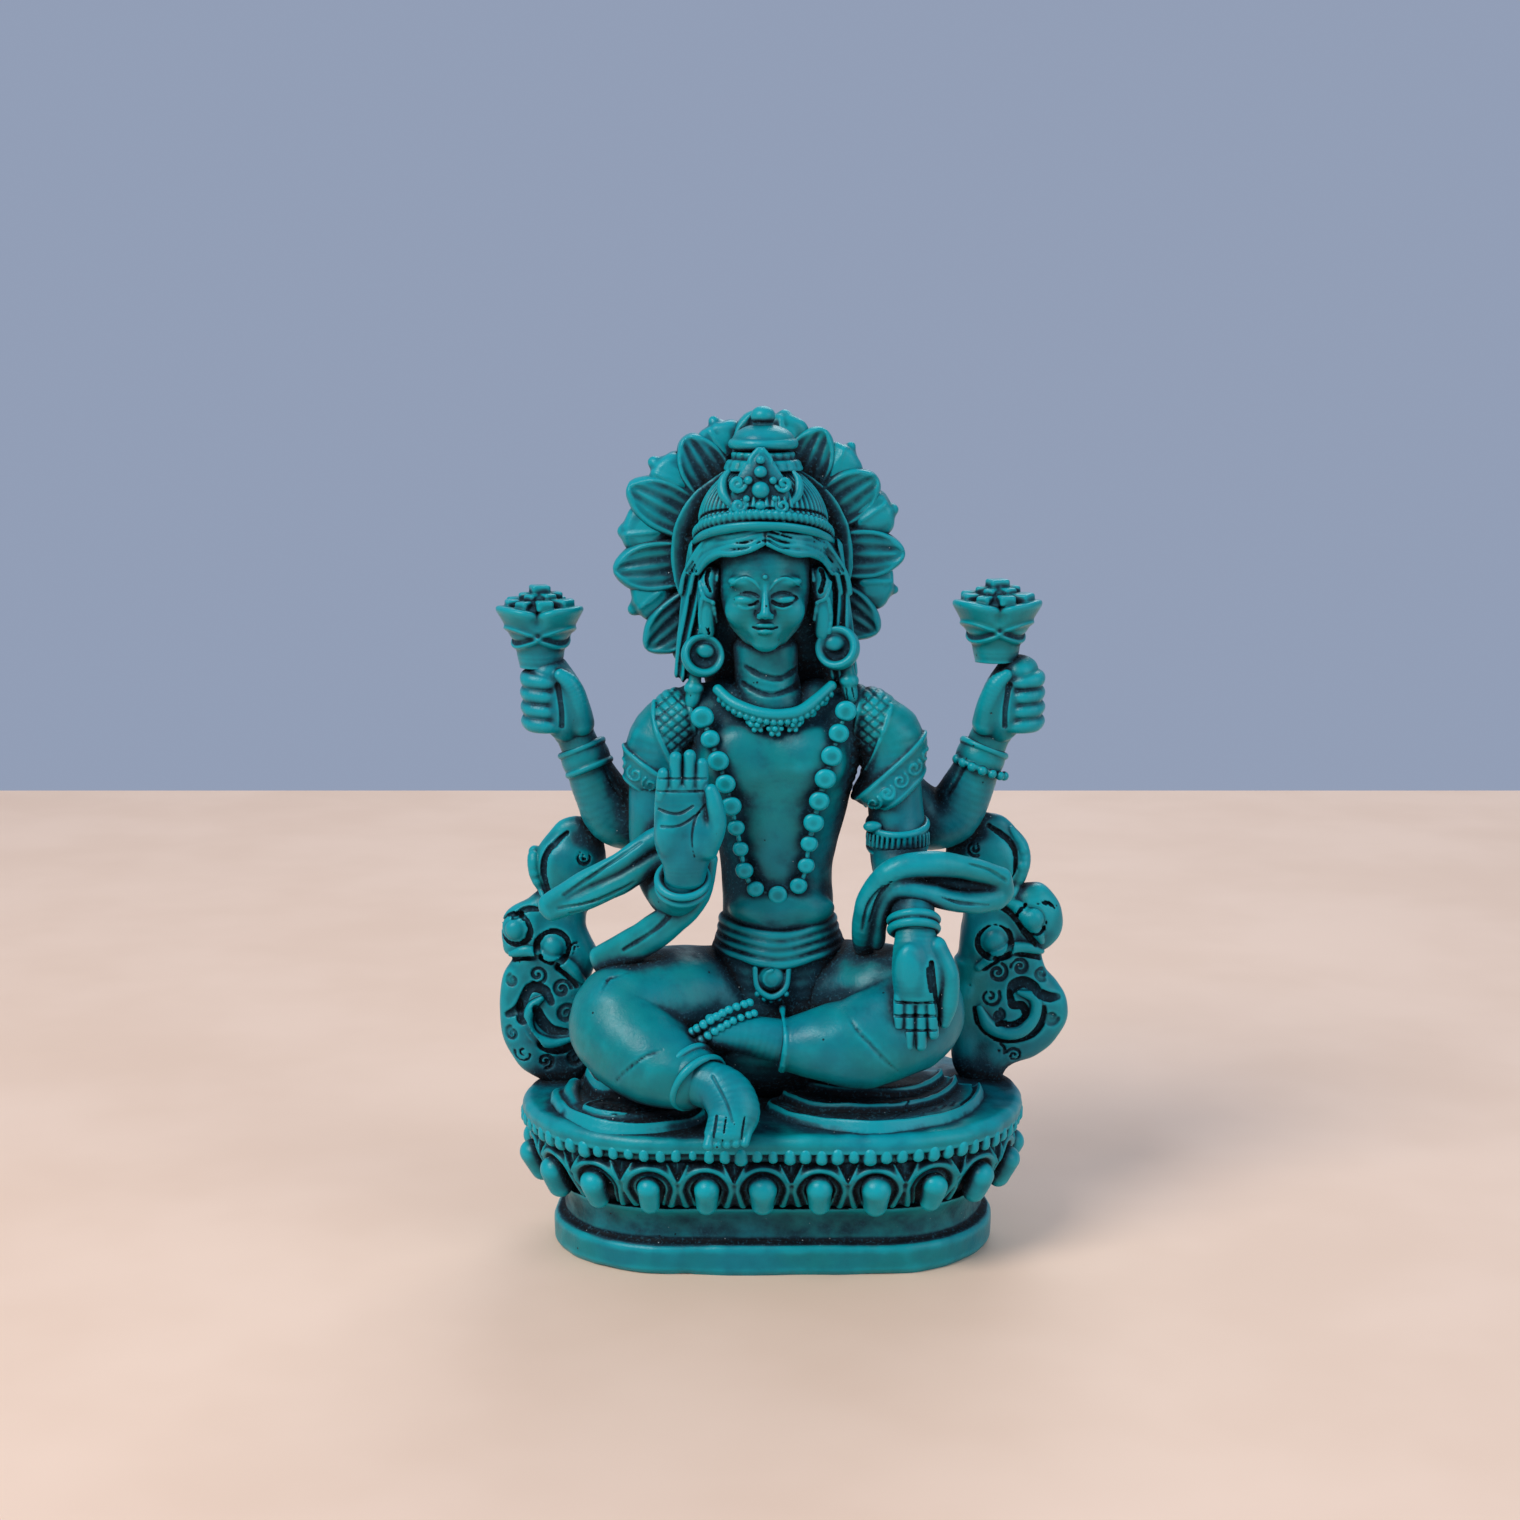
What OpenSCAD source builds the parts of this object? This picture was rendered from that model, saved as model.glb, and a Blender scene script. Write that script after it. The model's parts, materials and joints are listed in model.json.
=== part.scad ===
// Four-armed seated deity on a lotus throne, one cast figure split into its sculpted elements.
// Millimetres, +Z up, origin at the middle of the base's underside. The figure faces -Y,
// so its own right hand is on the -X side.

/* [Overall] */
// Height of the whole statue, from the underside to the crown knob
total_h = 140; // [110:5:200]

/* [Base] */
// Height of the plinth's slab
slab_h = 5.2; // [4:0.2:6.5]
// Radius of the plinth's round ends
plinth_r = 20.4; // [19:0.2:21.5]
// Half the straight run between the centres of the two round ends
half_run = 16.8; // [15:0.2:18]
// Radius of the seat's round ends
seat_r = 24.6; // [23.5:0.1:25]
// Number of lotus petals round the base
petals = 23; // [20:1:26]
// Number of beads round the seat's rim
rim_bead_count = 86; // [70:1:88]

/* [Halo] */
// Distance of the petal tips from the halo's centre
halo_r = 23.4; // [21:0.2:24]
// Number of ribbed petals, and of round petals between them
halo_petals = 11; // [9:1:13]
// Thickness of the halo's disc
halo_t = 3; // [2:0.5:4]

/* [Jewels] */
// Radius of a bead on the long garland
garland_bead_r = 1.4; // [1:0.05:1.5]
// Number of beads on the long garland
garland_beads = 19; // [15:1:21]
// Radius of an earring's disc
earring_r = 3.6; // [3:0.1:4]

/* [Flowers] */
// Radius of a lotus flower's cup
lotus_r = 7.3; // [6:0.1:8]

/* [Hidden] */

modelled_h = 140;               // height that the coordinates below are written for
fit = total_h / modelled_h;     // one uniform factor brings them to total_h
facets = 10;                    // sides of the balls that the limbs are hulled from
small = 8;                      // the same for fingers and cords
$fn = 40;

resin = [0.04, 0.47, 0.48];
resin_light = [0.10, 0.58, 0.58];
resin_dark = [0.03, 0.30, 0.34];
bead_tone = [0.14, 0.62, 0.62];

// Heights of the base's layers
cove_top = 11.4;
band_top = 20.4;
seat_top = 24.6;
drum_r = 22.6;
band_foot_r = 20;       // radius of the petal band where it meets the cove
petal_t = 1.8;
petal_w = 8.2;
petal_foot_w = 6.4;
boss_r = 1.9;
rim_bead_r = 1.2;

// Where the halo, the crown and the head stand
head_x = -1.3;
halo_at = [-2, 7, 115.6];
crown_at = [-1.6, -2.4, 0];

// ---------------------------------------------------------------- shared shapes

// Catmull-Rom spline through rows of any width, with n steps to a span
function blend(a, b, c, d, t) =
    0.5 * (2 * b + (c - a) * t + (2 * a - 5 * b + 4 * c - d) * t * t
           + (3 * b - a - 3 * c + d) * t * t * t);
function spline(p, n) = concat(
    [for (i = [0 : len(p) - 2]) for (j = [0 : n - 1])
        blend(p[max(i - 1, 0)], p[i], p[i + 1], p[min(i + 2, len(p) - 1)], j / n)],
    [p[len(p) - 1]]);

// Points at equal distances along a curve that is given as a list of points
function run_lengths(q) =
    [for (i = 0, s = 0; i < len(q); i = i + 1, s = i < len(q) ? s + norm(q[i] - q[i - 1]) : s) s];
function even_spots(q, count) =
    let (s = run_lengths(q), pitch = s[len(s) - 1] / (count - 1))
    [for (j = [0 : count - 1]) [for (k = [0 : 2])
        lookup(j * pitch, [for (i = [0 : len(q) - 1]) [s[i], q[i][k]]])]];

// A row is [x, y, z, r], or [x, y, z, rx, ry, rz] for a flattened ball
module ball(q, sides) {
    translate([q[0], q[1], q[2]])
        scale(len(q) > 4 ? [q[3], q[4], q[5]] : [q[3], q[3], q[3]])
            sphere(1, $fn = sides);
}
module limb(rows, n = 3, sides = facets) {
    q = spline(rows, n);
    for (i = [0 : len(q) - 2])
        hull() { ball(q[i], sides); ball(q[i + 1], sides); }
}
function mirrored(rows, shift = [0, 0, 0]) =
    [for (q = rows) concat([-q[0] + shift.x, q[1] + shift.y, q[2] + shift.z],
                           [for (k = [3 : len(q) - 1]) q[k]])];

// A body with the base's rounded outline: children is its side profile, x out and y up
module around_base() {
    for (side = [-1, 1])
        translate([side * half_run, 0, 0]) rotate_extrude($fn = 64) children();
    rotate([90, 0, 90]) translate([0, 0, -half_run]) linear_extrude(2 * half_run) {
        children();
        mirror([1, 0]) children();
    }
}
// Place and heading on the base's outline of radius r, at distance s from the front middle
function outline_len(r) = 4 * half_run + 2 * PI * r;
function outline_at(r, s0) =
    let (s = s0 - floor(s0 / outline_len(r)) * outline_len(r), bend = PI * r)
    s < half_run ? [s, -r, -90]
    : s < half_run + bend ?
        let (a = -90 + (s - half_run) / r * 180 / PI)
        [half_run + r * cos(a), r * sin(a), a]
    : s < 3 * half_run + bend ? [2 * half_run - (s - bend), r, 90]
    : s < 3 * half_run + 2 * bend ?
        let (a = 90 + (s - 3 * half_run - bend) / r * 180 / PI)
        [-half_run + r * cos(a), r * sin(a), a]
    : [s - outline_len(r), -r, -90];
module round_base(count, r, phase = 0) {
    for (i = [0 : count - 1]) {
        at = outline_at(r, (i + phase) / count * outline_len(r));
        translate([at[0], at[1], 0]) rotate([0, 0, at[2]]) children();
    }
}
petal_phase = -0.182;   // the front middle petal stands a little to the figure's right

module ring(big, thick) { rotate_extrude($fn = 48) translate([big, 0]) circle(thick, $fn = 20); }

// ---------------------------------------------------------------- base

module plinth_profile() {
    cove_r = 2.6;               // radius of the hollow moulding above the slab
    difference() {
        polygon([[0, 0], [plinth_r - 0.8, 0], [plinth_r, 0.8], [plinth_r, slab_h - 0.6],
                 [plinth_r - 0.6, slab_h], [plinth_r - 0.6, cove_top], [0, cove_top]]);
        translate([plinth_r + cove_r * 0.45, (slab_h + cove_top) / 2]) circle(cove_r);
    }
}
module plinth() { color(resin) scale(fit) around_base() plinth_profile(); }

module lotus_drum() {
    belly_z = (cove_top + band_top) / 2;
    color(resin_dark) scale(fit) around_base()
        polygon([[0, cove_top], [band_foot_r, cove_top], [drum_r - 0.2, belly_z], [drum_r + 0.6, band_top],
                 [0, band_top]]);
}
// Round end up, narrower at the foot
module petal_outline() {
    shoulder = band_top - cove_top - petal_w / 2;
    translate([0, shoulder]) circle(petal_w / 2);
    polygon([[-petal_foot_w / 2, 0], [petal_foot_w / 2, 0], [petal_w / 2, shoulder],
             [-petal_w / 2, shoulder]]);
}
// Petals and bosses lean out with the band, from its foot to the rim
petal_lean = 18;
module on_band() {
    round_base(petals, drum_r, petal_phase)
        translate([band_foot_r - drum_r + 0.9, 0, cove_top]) rotate([0, petal_lean, 0]) children();
}
module lotus_petals() {
    color(resin) scale(fit) on_band() rotate([90, 0, 90]) linear_extrude(petal_t) petal_outline();
}
module petal_bosses() {
    boss_h = 2.4;               // straight length between a boss's round ends
    color(resin_light) scale(fit) on_band() translate([petal_t + 0.6, 0, petal_w / 2 - 0.9]) {
        translate([0, 0, -boss_h / 2]) sphere(boss_r);
        cylinder(r = boss_r, h = boss_h, center = true);
        translate([0, 0, boss_h / 2]) sphere(boss_r);
    }
}
module seat_profile() {
    edge = 1.2;
    polygon(concat([[0, band_top], [seat_r, band_top], [seat_r, seat_top - edge]],
        [for (a = [15 : 15 : 90]) [seat_r - edge + edge * cos(a), seat_top - edge + edge * sin(a)]],
        [[seat_r * 0.6, seat_top + 0.6], [0, seat_top + 0.6]]));
}
module seat_form() { around_base() seat_profile(); }
module seat() { color(resin) scale(fit) seat_form(); }
module rim_beads() {
    color(bead_tone) scale(fit) round_base(rim_bead_count, seat_r + rim_bead_r - 0.25)
        translate([0, 0, band_top + 0.3]) sphere(rim_bead_r, $fn = 20);
}

// ---------------------------------------------------------------- body and legs

torso_rows = [[0.7, -3, 61, 9.3, 6.3, 6], [0.7, -3.4, 69, 10.6, 7, 6],
              [0.4, -4, 80, 14.4, 8.4, 8], [0.3, -3.4, 87.5, 15.6, 6.6, 6]];
hip_rows = [[1, 4, 30, 20, 13, 6.5], [1.2, 1, 36, 17, 12.4, 8], [1, -1.6, 46, 13, 9.6, 7],
            [0.8, -3, 54, 9.8, 7.4, 6]];
right_leg_rows = [[-8, -1.5, 41, 9.6], [-17, -7, 42, 9.6], [-24.2, -11.5, 40, 9],
                  [-19.6, -17.6, 36, 7.6], [-15.2, -21.4, 33.4, 5.4]];
left_leg_rows = [[9.5, -1.5, 42, 9.4], [17, -7, 43, 9.2], [22.2, -11.2, 42, 9],
                 [15.5, -16.4, 38.6, 7.6], [9, -17.6, 38.4, 6], [3.6, -17.6, 38.4, 4.6]];
right_foot_rows = [[-11.4, -24.4, 32.6, 3.9, 3.6, 3.9], [-6.4, -27.4, 31.4, 4.8, 3.2, 4.4],
                   [-4.6, -29.2, 28.6, 4.6, 2.6, 3.6], [-7, -31, 25.6, 3.6, 2, 2.2]];
left_foot_rows = [[1, -17.8, 39, 4, 3.8, 3.6], [-3.6, -18.4, 40, 4.2, 3.2, 3.2],
                  [-8.4, -19, 40.6, 3.2, 2.6, 2.6]];

module torso_form() { limb(torso_rows, sides = 16); }
module hips_form() { limb(hip_rows, sides = 16); }
module right_leg_form() { limb(right_leg_rows); }
module left_leg_form() { limb(left_leg_rows); }

module torso() { color(resin) scale(fit) torso_form(); }
module hips() { color(resin) scale(fit) difference() { hips_form(); torso_form(); seat_form(); } }
module right_leg() {
    color(resin) scale(fit) difference() { right_leg_form(); hips_form(); seat_form(); }
}
module left_leg() {
    color(resin) scale(fit) difference() { left_leg_form(); hips_form(); seat_form(); }
}
module right_foot() {
    color(resin_light) scale(fit)
        difference() { limb(right_foot_rows); right_leg_form(); seat_form(); }
}
module left_foot() {
    color(resin) scale(fit) difference() { limb(left_foot_rows, 4); left_leg_form(); right_leg_form(); }
}
module right_ankle_cuff() {
    color(resin_dark) scale(fit)
        translate([-13, -22.2, 34.2]) rotate([90, 0, 48]) rotate([0, -14, 0]) ring(4.5, 1.1);
}
// Beads that lie over the tucked foot
anklet_rows = [[-13.3, -19.5, 41], [-10, -20.6, 43.4], [-7.1, -19.8, 44.8], [-3.8, -18, 45.4]];
anklet_beads = 6;
module left_anklet() {
    color(bead_tone) scale(fit)
        for (at = even_spots(spline(anklet_rows, 4), anklet_beads)) translate(at) sphere(0.95, $fn = 16);
}

// Hems of the garment, spread on the seat
right_hem_rows = [[-33.5, -6, 27.4, 3, 3.4, 2], [-30, -13, 26.6, 4, 3.4, 2.2],
                  [-22, -18.6, 26.6, 4, 3.2, 2.2], [-13, -21, 27.2, 3, 2.4, 2]];
left_hem_rows = [[0, -19.4, 29.4, 2.6, 2.4, 2.4], [7, -20.6, 26.8, 4, 3, 2.4],
                 [19, -20.2, 26.2, 4.2, 3.2, 2.6], [29.5, -15, 26.6, 4, 3.6, 2.4],
                 [35, -7, 27.6, 3, 3.4, 2.2]];
module right_hem() {
    color(resin) scale(fit) difference() { limb(right_hem_rows); right_leg_form(); seat_form(); }
}
module left_hem() {
    color(resin) scale(fit) difference() { limb(left_hem_rows); left_leg_form(); seat_form(); }
}

// Three-ring belt and the pendant on it
belt_at = [0.8, -2.8, 53.4];
module belt() {
    color(resin_light) scale(fit) translate(belt_at) for (i = [-1 : 1])
        translate([0, -0.3 * i, -1.9 * i]) scale([9.6 - 0.3 * i, 8.6, 1])
            rotate_extrude($fn = 32) translate([0.98, 0]) scale([0.11, 1.05]) circle(1, $fn = 10);
}
module belt_pendant() {
    color(resin_light) scale(fit) translate([-0.2, -12.2, 47.6]) rotate([90, 0, 0]) {
        difference() {
            cylinder(r = 2.9, h = 2.2);
            translate([0, 0, 1.4]) cylinder(r = 1.9, h = 2);
        }
        translate([0, 0, 1.2]) sphere(1.2);
    }
}

// ---------------------------------------------------------------- head

neck_rows = [[-0.2, -3.2, 92, 6.4, 5.8, 3], [-0.9, -3.2, 96, 5.4, 5.2, 3],
             [head_x, -3.2, 101, 5.2, 5, 3]];
head_rows = [[head_x, -7.2, 104, 4.2, 3.8, 2.6], [head_x, -5.8, 107, 6.6, 6, 4],
             [head_x, -4, 111.6, 7.7, 8.2, 6], [head_x, -3.4, 116, 7.6, 8.4, 5.4]];
hair_back_rows = [[head_x, 0, 116.5, 11.4, 6.8, 7], [head_x, 0.4, 110, 11.6, 6, 6],
                  [-1, 1.2, 102, 11.4, 4.4, 5], [-0.6, 2.4, 94, 10, 3.2, 4]];
hair_lock_rows = [[-11.9, -3.2, 117, 1.8, 2, 2.6], [-12.6, -3, 111, 1.9, 2, 2.6],
                  [-13.1, -3.4, 104, 2, 2, 2.6], [-14, -4.2, 97, 1.9, 1.9, 2.6]];
hair_front_rows = [[-11.6, -4.4, 114.8, 1.6], [-9.8, -7, 116.9, 2], [-6.2, -10, 118.4, 2.1],
                   [head_x, -11.2, 119.2, 2], [3.5, -10.1, 118.5, 2.1], [7.2, -7.1, 117, 2],
                   [9.1, -4.5, 114.9, 1.6]];
ear_rows = [[-9.8, -5.2, 112.8, 1.4, 1.6, 1.9], [-10.5, -5.6, 110, 1.6, 1.6, 2.4],
            [-10.6, -5.8, 105, 1.3, 1.4, 2.4]];
mid_shift = [2 * head_x, 0, 0];     // moves a mirrored lock or ear to the head's other side

module neck_form() { limb(neck_rows, 4, sides = 14); }
module head_form() { limb(head_rows, 3, sides = 16); }
module neck() { color(resin) scale(fit) difference() { neck_form(); torso_form(); head_form(); } }
module head() { color(resin) scale(fit) head_form(); }
module hair_form() {
    limb(hair_back_rows, 3, sides = 14);
    limb(hair_lock_rows);
    limb(mirrored(hair_lock_rows, mid_shift));
    limb(hair_front_rows, 2, small);
}
module hair() {
    color(resin_dark) scale(fit) difference() {
        hair_form();
        head_form();
        neck_form();
        torso_form();
        headband_form();
        crown_cap_form();
        behind_halo_face();
    }
}
module ears() {
    color(resin) scale(fit) difference() {
        union() { limb(ear_rows, 4, small); limb(mirrored(ear_rows, mid_shift), 4, small); }
        head_form();
        hair_form();
    }
}
// Earring discs hang before the side locks, each with a drop below
module earring(at, drop) {
    translate(at) rotate([90, 0, 0]) difference() {
        cylinder(r = earring_r, h = 2.6);
        translate([0, 0, 1.6]) cylinder(r = earring_r * 0.62, h = 2);
    }
    translate(at + drop) {
        sphere(1.7, $fn = 24);
        translate([0, 0, 1.4]) cylinder(r1 = 1, r2 = 0.7, h = 2.6, $fn = 24);
    }
}
module earrings() {
    color(resin_light) scale(fit) {
        earring([-11.4, -5.2, 100.2], [-1.4, -1.2, -6.6]);
        earring([10.4, -5.2, 101.4], [1.9, -1.2, -6.6]);
    }
}

// ---------------------------------------------------------------- head dress

module band(r, thick, z, tilt) {
    translate(crown_at + [0, 0, z]) rotate([tilt, 0, 0]) ring(r, thick);
}
module behind_halo_face() {
    translate([halo_at.x, halo_at.y - halo_t / 2 - 2 + 20, halo_at.z]) cube([60, 40, 60], center = true);
}
module headband_form() {
    difference() {
        union() { band(11, 0.9, 118.2, -18); band(10.8, 0.9, 119.8, -18); }
        behind_halo_face();
    }
}
module headband() { color(resin_light) scale(fit) headband_form(); }
module crown_cap_form() {
    difference() {
        translate(crown_at + [0, 0, 121.4]) rotate_extrude()
            polygon(concat([[0, 0]], [for (a = [0 : 10 : 70]) [9 * cos(a), 10 * sin(a)]], [[0, 9.6]]));
        behind_halo_face();
    }
}
module crown_cap() { color(resin) scale(fit) crown_cap_form(); }
module crown_ornament() {
    bead_spots = [[0, 0, 1.9], [0, 3.6, 1.4], [0, -3.4, 1.3], [-3.2, 1.8, 1.3], [3.2, 1.8, 1.3],
                  [-3.2, -2, 1.3], [3.2, -2, 1.3]];
    color(resin_light) scale(fit) translate([-2, -10.4, 126.2]) rotate([78, 0, 0]) {
        translate([0, 0, -0.6]) cylinder(r = 5.4, h = 1.4);
        for (s = bead_spots) translate([s[0], s[1], 0.9]) sphere(s[2], $fn = 20);
        for (side = [-1, 1]) translate([side * 6.4, 0.6, -0.4]) ring(1.6, 0.7);
        translate([0, 5.2, -0.2]) cylinder(r1 = 1.8, r2 = 0.4, h = 2.4, $fn = 20);
    }
}
module crown_tiers() {
    color(resin) scale(fit) translate(crown_at + [0, 0, 130.6]) {
        cylinder(r1 = 5.4, r2 = 3.6, h = 1.6);
        translate([0, 0, 1.6]) cylinder(r1 = 3.2, r2 = 2.6, h = 0.9);
    }
}
module crown_umbrella() {
    color(resin_light) scale(fit) translate(crown_at + [0, 0, 133.1]) rotate_extrude()
        polygon(concat([[0, 0], [4.4, 0]], [for (a = [0 : 15 : 75]) [5.2 * cos(a), 0.7 + 3 * sin(a)]],
                       [[0, 3.7]]));
}
module crown_knob() {
    color(resin) scale(fit) translate(crown_at + [0, 0, 138.1]) {
        sphere(1.9);
        translate([0, 0, -1.4]) cylinder(r = 1.1, h = 1, center = true);
    }
}

// ---------------------------------------------------------------- jewels

collar_rows = [[-8.9, -7.4, 94.7, 0.9], [-6.3, -9.6, 92.8, 1.1], [-2.3, -11, 91.5, 1.2],
               [1.6, -11.2, 91.2, 1.2], [5, -10.4, 92, 1.1], [9.4, -7.4, 95.3, 0.9]];
rosette_spots = [[-2.5, -10.4, 89.6], [0.3, -10.8, 89], [3.1, -10.4, 89.6]];
module collar_necklace() { color(resin_light) scale(fit) limb(collar_rows, 3, small); }
module necklace_rosettes() {
    color(bead_tone) scale(fit) {
        for (at = rosette_spots) translate(at) rotate([90, 0, 0]) {
            cylinder(r = 1.25, h = 1.4);
            translate([0, 0, 1.1]) sphere(0.8, $fn = 16);
        }
        for (side = [-1, 1]) for (i = [2 : 4])
            translate([0.3 + side * 1.95 * i, -11.2 + 0.19 * i * i, 89.1 + 0.24 * i * i])
                sphere(0.8, $fn = 16);
    }
}
garland_rows = [[-11.4, -10.5, 90.6], [-8.7, -12.8, 83.7], [-6.8, -13.2, 76.8], [-5.5, -12, 70.7],
                [-3.9, -10.8, 63.6], [0.4, -10.4, 61.4], [4.6, -10.8, 63.6], [5.9, -12, 70.7],
                [7.4, -13.2, 77.4], [9.3, -12.8, 84.3], [11.7, -10.5, 91.6]];
module bead_garland() {
    color(bead_tone) scale(fit)
        for (at = even_spots(spline(garland_rows, 8), garland_beads))
            translate(at) sphere(garland_bead_r, $fn = 24);
}

// ---------------------------------------------------------------- front arms

sleeve_rows = [[-15.4, -3, 89, 5, 5.4, 5], [-18.2, -3.2, 86, 5.6, 5.8, 5],
               [-19.2, -3.6, 80.4, 5, 5.4, 3.6]];
right_arm_rows = [[-19.4, -3.8, 79, 4.4], [-19.4, -4.4, 70, 4.4], [-18, -6, 63.6, 4.3],
                  [-15.8, -12.4, 62, 4], [-14.4, -18.6, 65, 3.4]];
left_arm_rows = [[19.8, -3.8, 79, 4.6], [20.4, -4.6, 71.5, 4.6], [20.8, -6.6, 65.6, 4.4],
                 [21.8, -12, 62.6, 3.9], [22.6, -17, 59, 3.3]];
module right_sleeve_form() { limb(sleeve_rows, 4); }
module left_sleeve_form() { limb(mirrored(sleeve_rows, [0.6, 0, 0]), 4); }
module right_arm_form() { limb(right_arm_rows); }
module left_arm_form() { limb(left_arm_rows); }
module right_sleeve() {
    color(resin) scale(fit) difference() { right_sleeve_form(); torso_form(); }
}
module left_sleeve() {
    color(resin) scale(fit) difference() { left_sleeve_form(); torso_form(); }
}
module right_arm() {
    color(resin) scale(fit)
        difference() { right_arm_form(); right_sleeve_form(); torso_form(); }
}
module left_arm() {
    color(resin) scale(fit)
        difference() { left_arm_form(); left_sleeve_form(); torso_form(); }
}

// A hand: a palm, four fingers and a thumb; up is +1 for fingers up and -1 for fingers down
module hand(up) {
    limb([[0, 0, 0, 3, 2, 2], [-0.2, 0, up * 4, 4.2, 1.9, 3], [-0.4, -0.2, up * 9, 4.1, 1.6, 2.2]],
         2, facets);
    reach = [15.4, 17.6, 18, 16.6];
    for (i = [0 : 3])
        limb([[-3.7 + 2 * i, -0.2, up * 9, 1.15], [-3.5 + 1.9 * i, -0.5, up * (reach[i] - 1), 0.95]],
             2, small);
    limb([[3, -0.4, up * 3, 1.5], [4.5, -0.8, up * 7.4, 1.25], [4.6, -1, up * 11, 0.95]], 2, small);
}
module raised_hand() {
    color(resin_light) scale(fit)
        difference() { translate([-14.2, -21.4, 68.4]) hand(1); right_arm_form(); }
}
module lowered_hand() {
    color(resin_light) scale(fit)
        difference() { translate([23.4, -20, 56.6]) hand(-1); left_arm_form(); left_leg_form(); }
}
module right_bracelet() {
    color(resin_dark) scale(fit) translate([-14.4, -18.9, 65.4]) rotate([36, 0, 0]) ring(3.7, 1.05);
}
module left_bracelet() {
    color(resin_dark) scale(fit) translate([22.6, -16.8, 58]) rotate([-32, 0, 0]) ring(3.6, 1.05);
}
module left_armlet() {
    color(resin_dark) scale(fit) translate([20.5, -4.9, 70.4]) rotate([14, 0, 0]) ring(5, 0.9);
}

// ---------------------------------------------------------------- rear arms and flowers

rear_arm_rows = [[-17.5, 4, 75, 5.2], [-22.4, 5, 71.2, 5.2], [-26.6, 4.8, 72, 5],
                 [-29.4, 3.8, 77, 4.3], [-31.4, 2.8, 82, 3.5], [-32.8, 2, 85.6, 3.2]];
fist_rows = [[-33, 2, 86.4, 3.2, 3, 2.6], [-34.6, 1.4, 90, 4.4, 3.6, 3], [-35.8, 1, 94, 4.4, 3.6, 3],
             [-37.2, 1, 97.4, 3.2, 3, 2.4]];
rear_shift = [3.4, 0, 0];           // the left side stands a little farther out
module rear_arm_form() { limb(rear_arm_rows); }
module rear_left_arm_form() { limb(mirrored(rear_arm_rows, rear_shift)); }
module rear_right_arm() {
    color(resin) scale(fit) difference() {
        rear_arm_form();
        torso_form();
        right_sleeve_form();
        right_arm_form();
        scroll_plate(right_lobes);
    }
}
module rear_left_arm() {
    color(resin) scale(fit) difference() {
        rear_left_arm_form();
        torso_form();
        left_sleeve_form();
        left_arm_form();
        scroll_plate(left_lobes);
    }
}
// A fist closed round a stem, its four fingers on the outer side
module fist_form() {
    limb(fist_rows);
    for (i = [0 : 3])
        limb([[-37 - 0.3 * i, -2.6, 89 + 2.2 * i, 1.2], [-39.6, -1.5, 89.4 + 2.2 * i, 1.5],
              [-40.4, 1, 89.8 + 2.2 * i, 1.2]], 2, small);
    limb([[-31.6, -0.6, 90, 1.5], [-32.6, -1.8, 94, 1.4], [-34.6, -2, 97, 1.2]], 2, small);
}
module rear_right_fist() {
    color(resin_light) scale(fit) difference() { fist_form(); rear_arm_form(); }
}
module rear_left_fist() {
    color(resin_light) scale(fit) difference() {
        translate(rear_shift) mirror([1, 0, 0]) fist_form();
        rear_left_arm_form();
    }
}
module rear_bracelet() { translate([-31.2, 2.9, 81.6]) rotate([-8, -22, 0]) ring(3.6, 1.2); }
module rear_right_bracelet() { color(resin_dark) scale(fit) rear_bracelet(); }
module rear_left_bracelet() {
    color(resin_dark) scale(fit) translate(rear_shift) mirror([1, 0, 0]) rear_bracelet();
}
// Stem, flaring cup with scalloped rim, and the seed head in it
module lotus(at) {
    cup_h = 6.2;
    stem_r = 3.2;
    translate(at) {
        cylinder(r = stem_r, h = 3);
        translate([0, 0, 3]) difference() {
            cylinder(r1 = stem_r, r2 = lotus_r, h = cup_h);
            translate([0, 0, cup_h - 1.6]) cylinder(r = lotus_r * 0.72, h = 2);
        }
        translate([0, 0, 3 + cup_h - 1.6]) {
            cylinder(r1 = lotus_r * 0.6, r2 = lotus_r * 0.5, h = 2.6);
            for (i = [0 : 5]) rotate([0, 0, 60 * i])
                translate([lotus_r * 0.4, 0, 2.6]) sphere(1, $fn = 20);
            translate([0, 0, 3]) sphere(1.6, $fn = 24);
        }
    }
}
module right_lotus() { color(resin) scale(fit) lotus([-38.2, 1, 98.9]); }
module left_lotus() { color(resin) scale(fit) lotus([36.8, 1, 99.8]); }

// ---------------------------------------------------------------- halo

module at_halo(y) { translate([halo_at.x, y, halo_at.z]) rotate([90, 0, 0]) children(); }
module halo_disc_form() { at_halo(halo_at.y + halo_t / 2) cylinder(r = 16.4, h = halo_t, $fn = 72); }
module halo_disc() { color(resin_dark) scale(fit) halo_disc_form(); }
module halo_rim() {
    color(resin) scale(fit) at_halo(halo_at.y - halo_t / 2 - 1.1) ring(12, 1);
}
// The petals were set by eye, and crowd a little away from the figure's left
function halo_angle(k) = let (a = 90 + k * 360 / halo_petals) a + 3 + 5.5 * cos(a - 5);
module round_halo(phase) {
    for (i = [0 : halo_petals - 1]) rotate([0, 0, halo_angle(i + phase)]) children();
}
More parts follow.
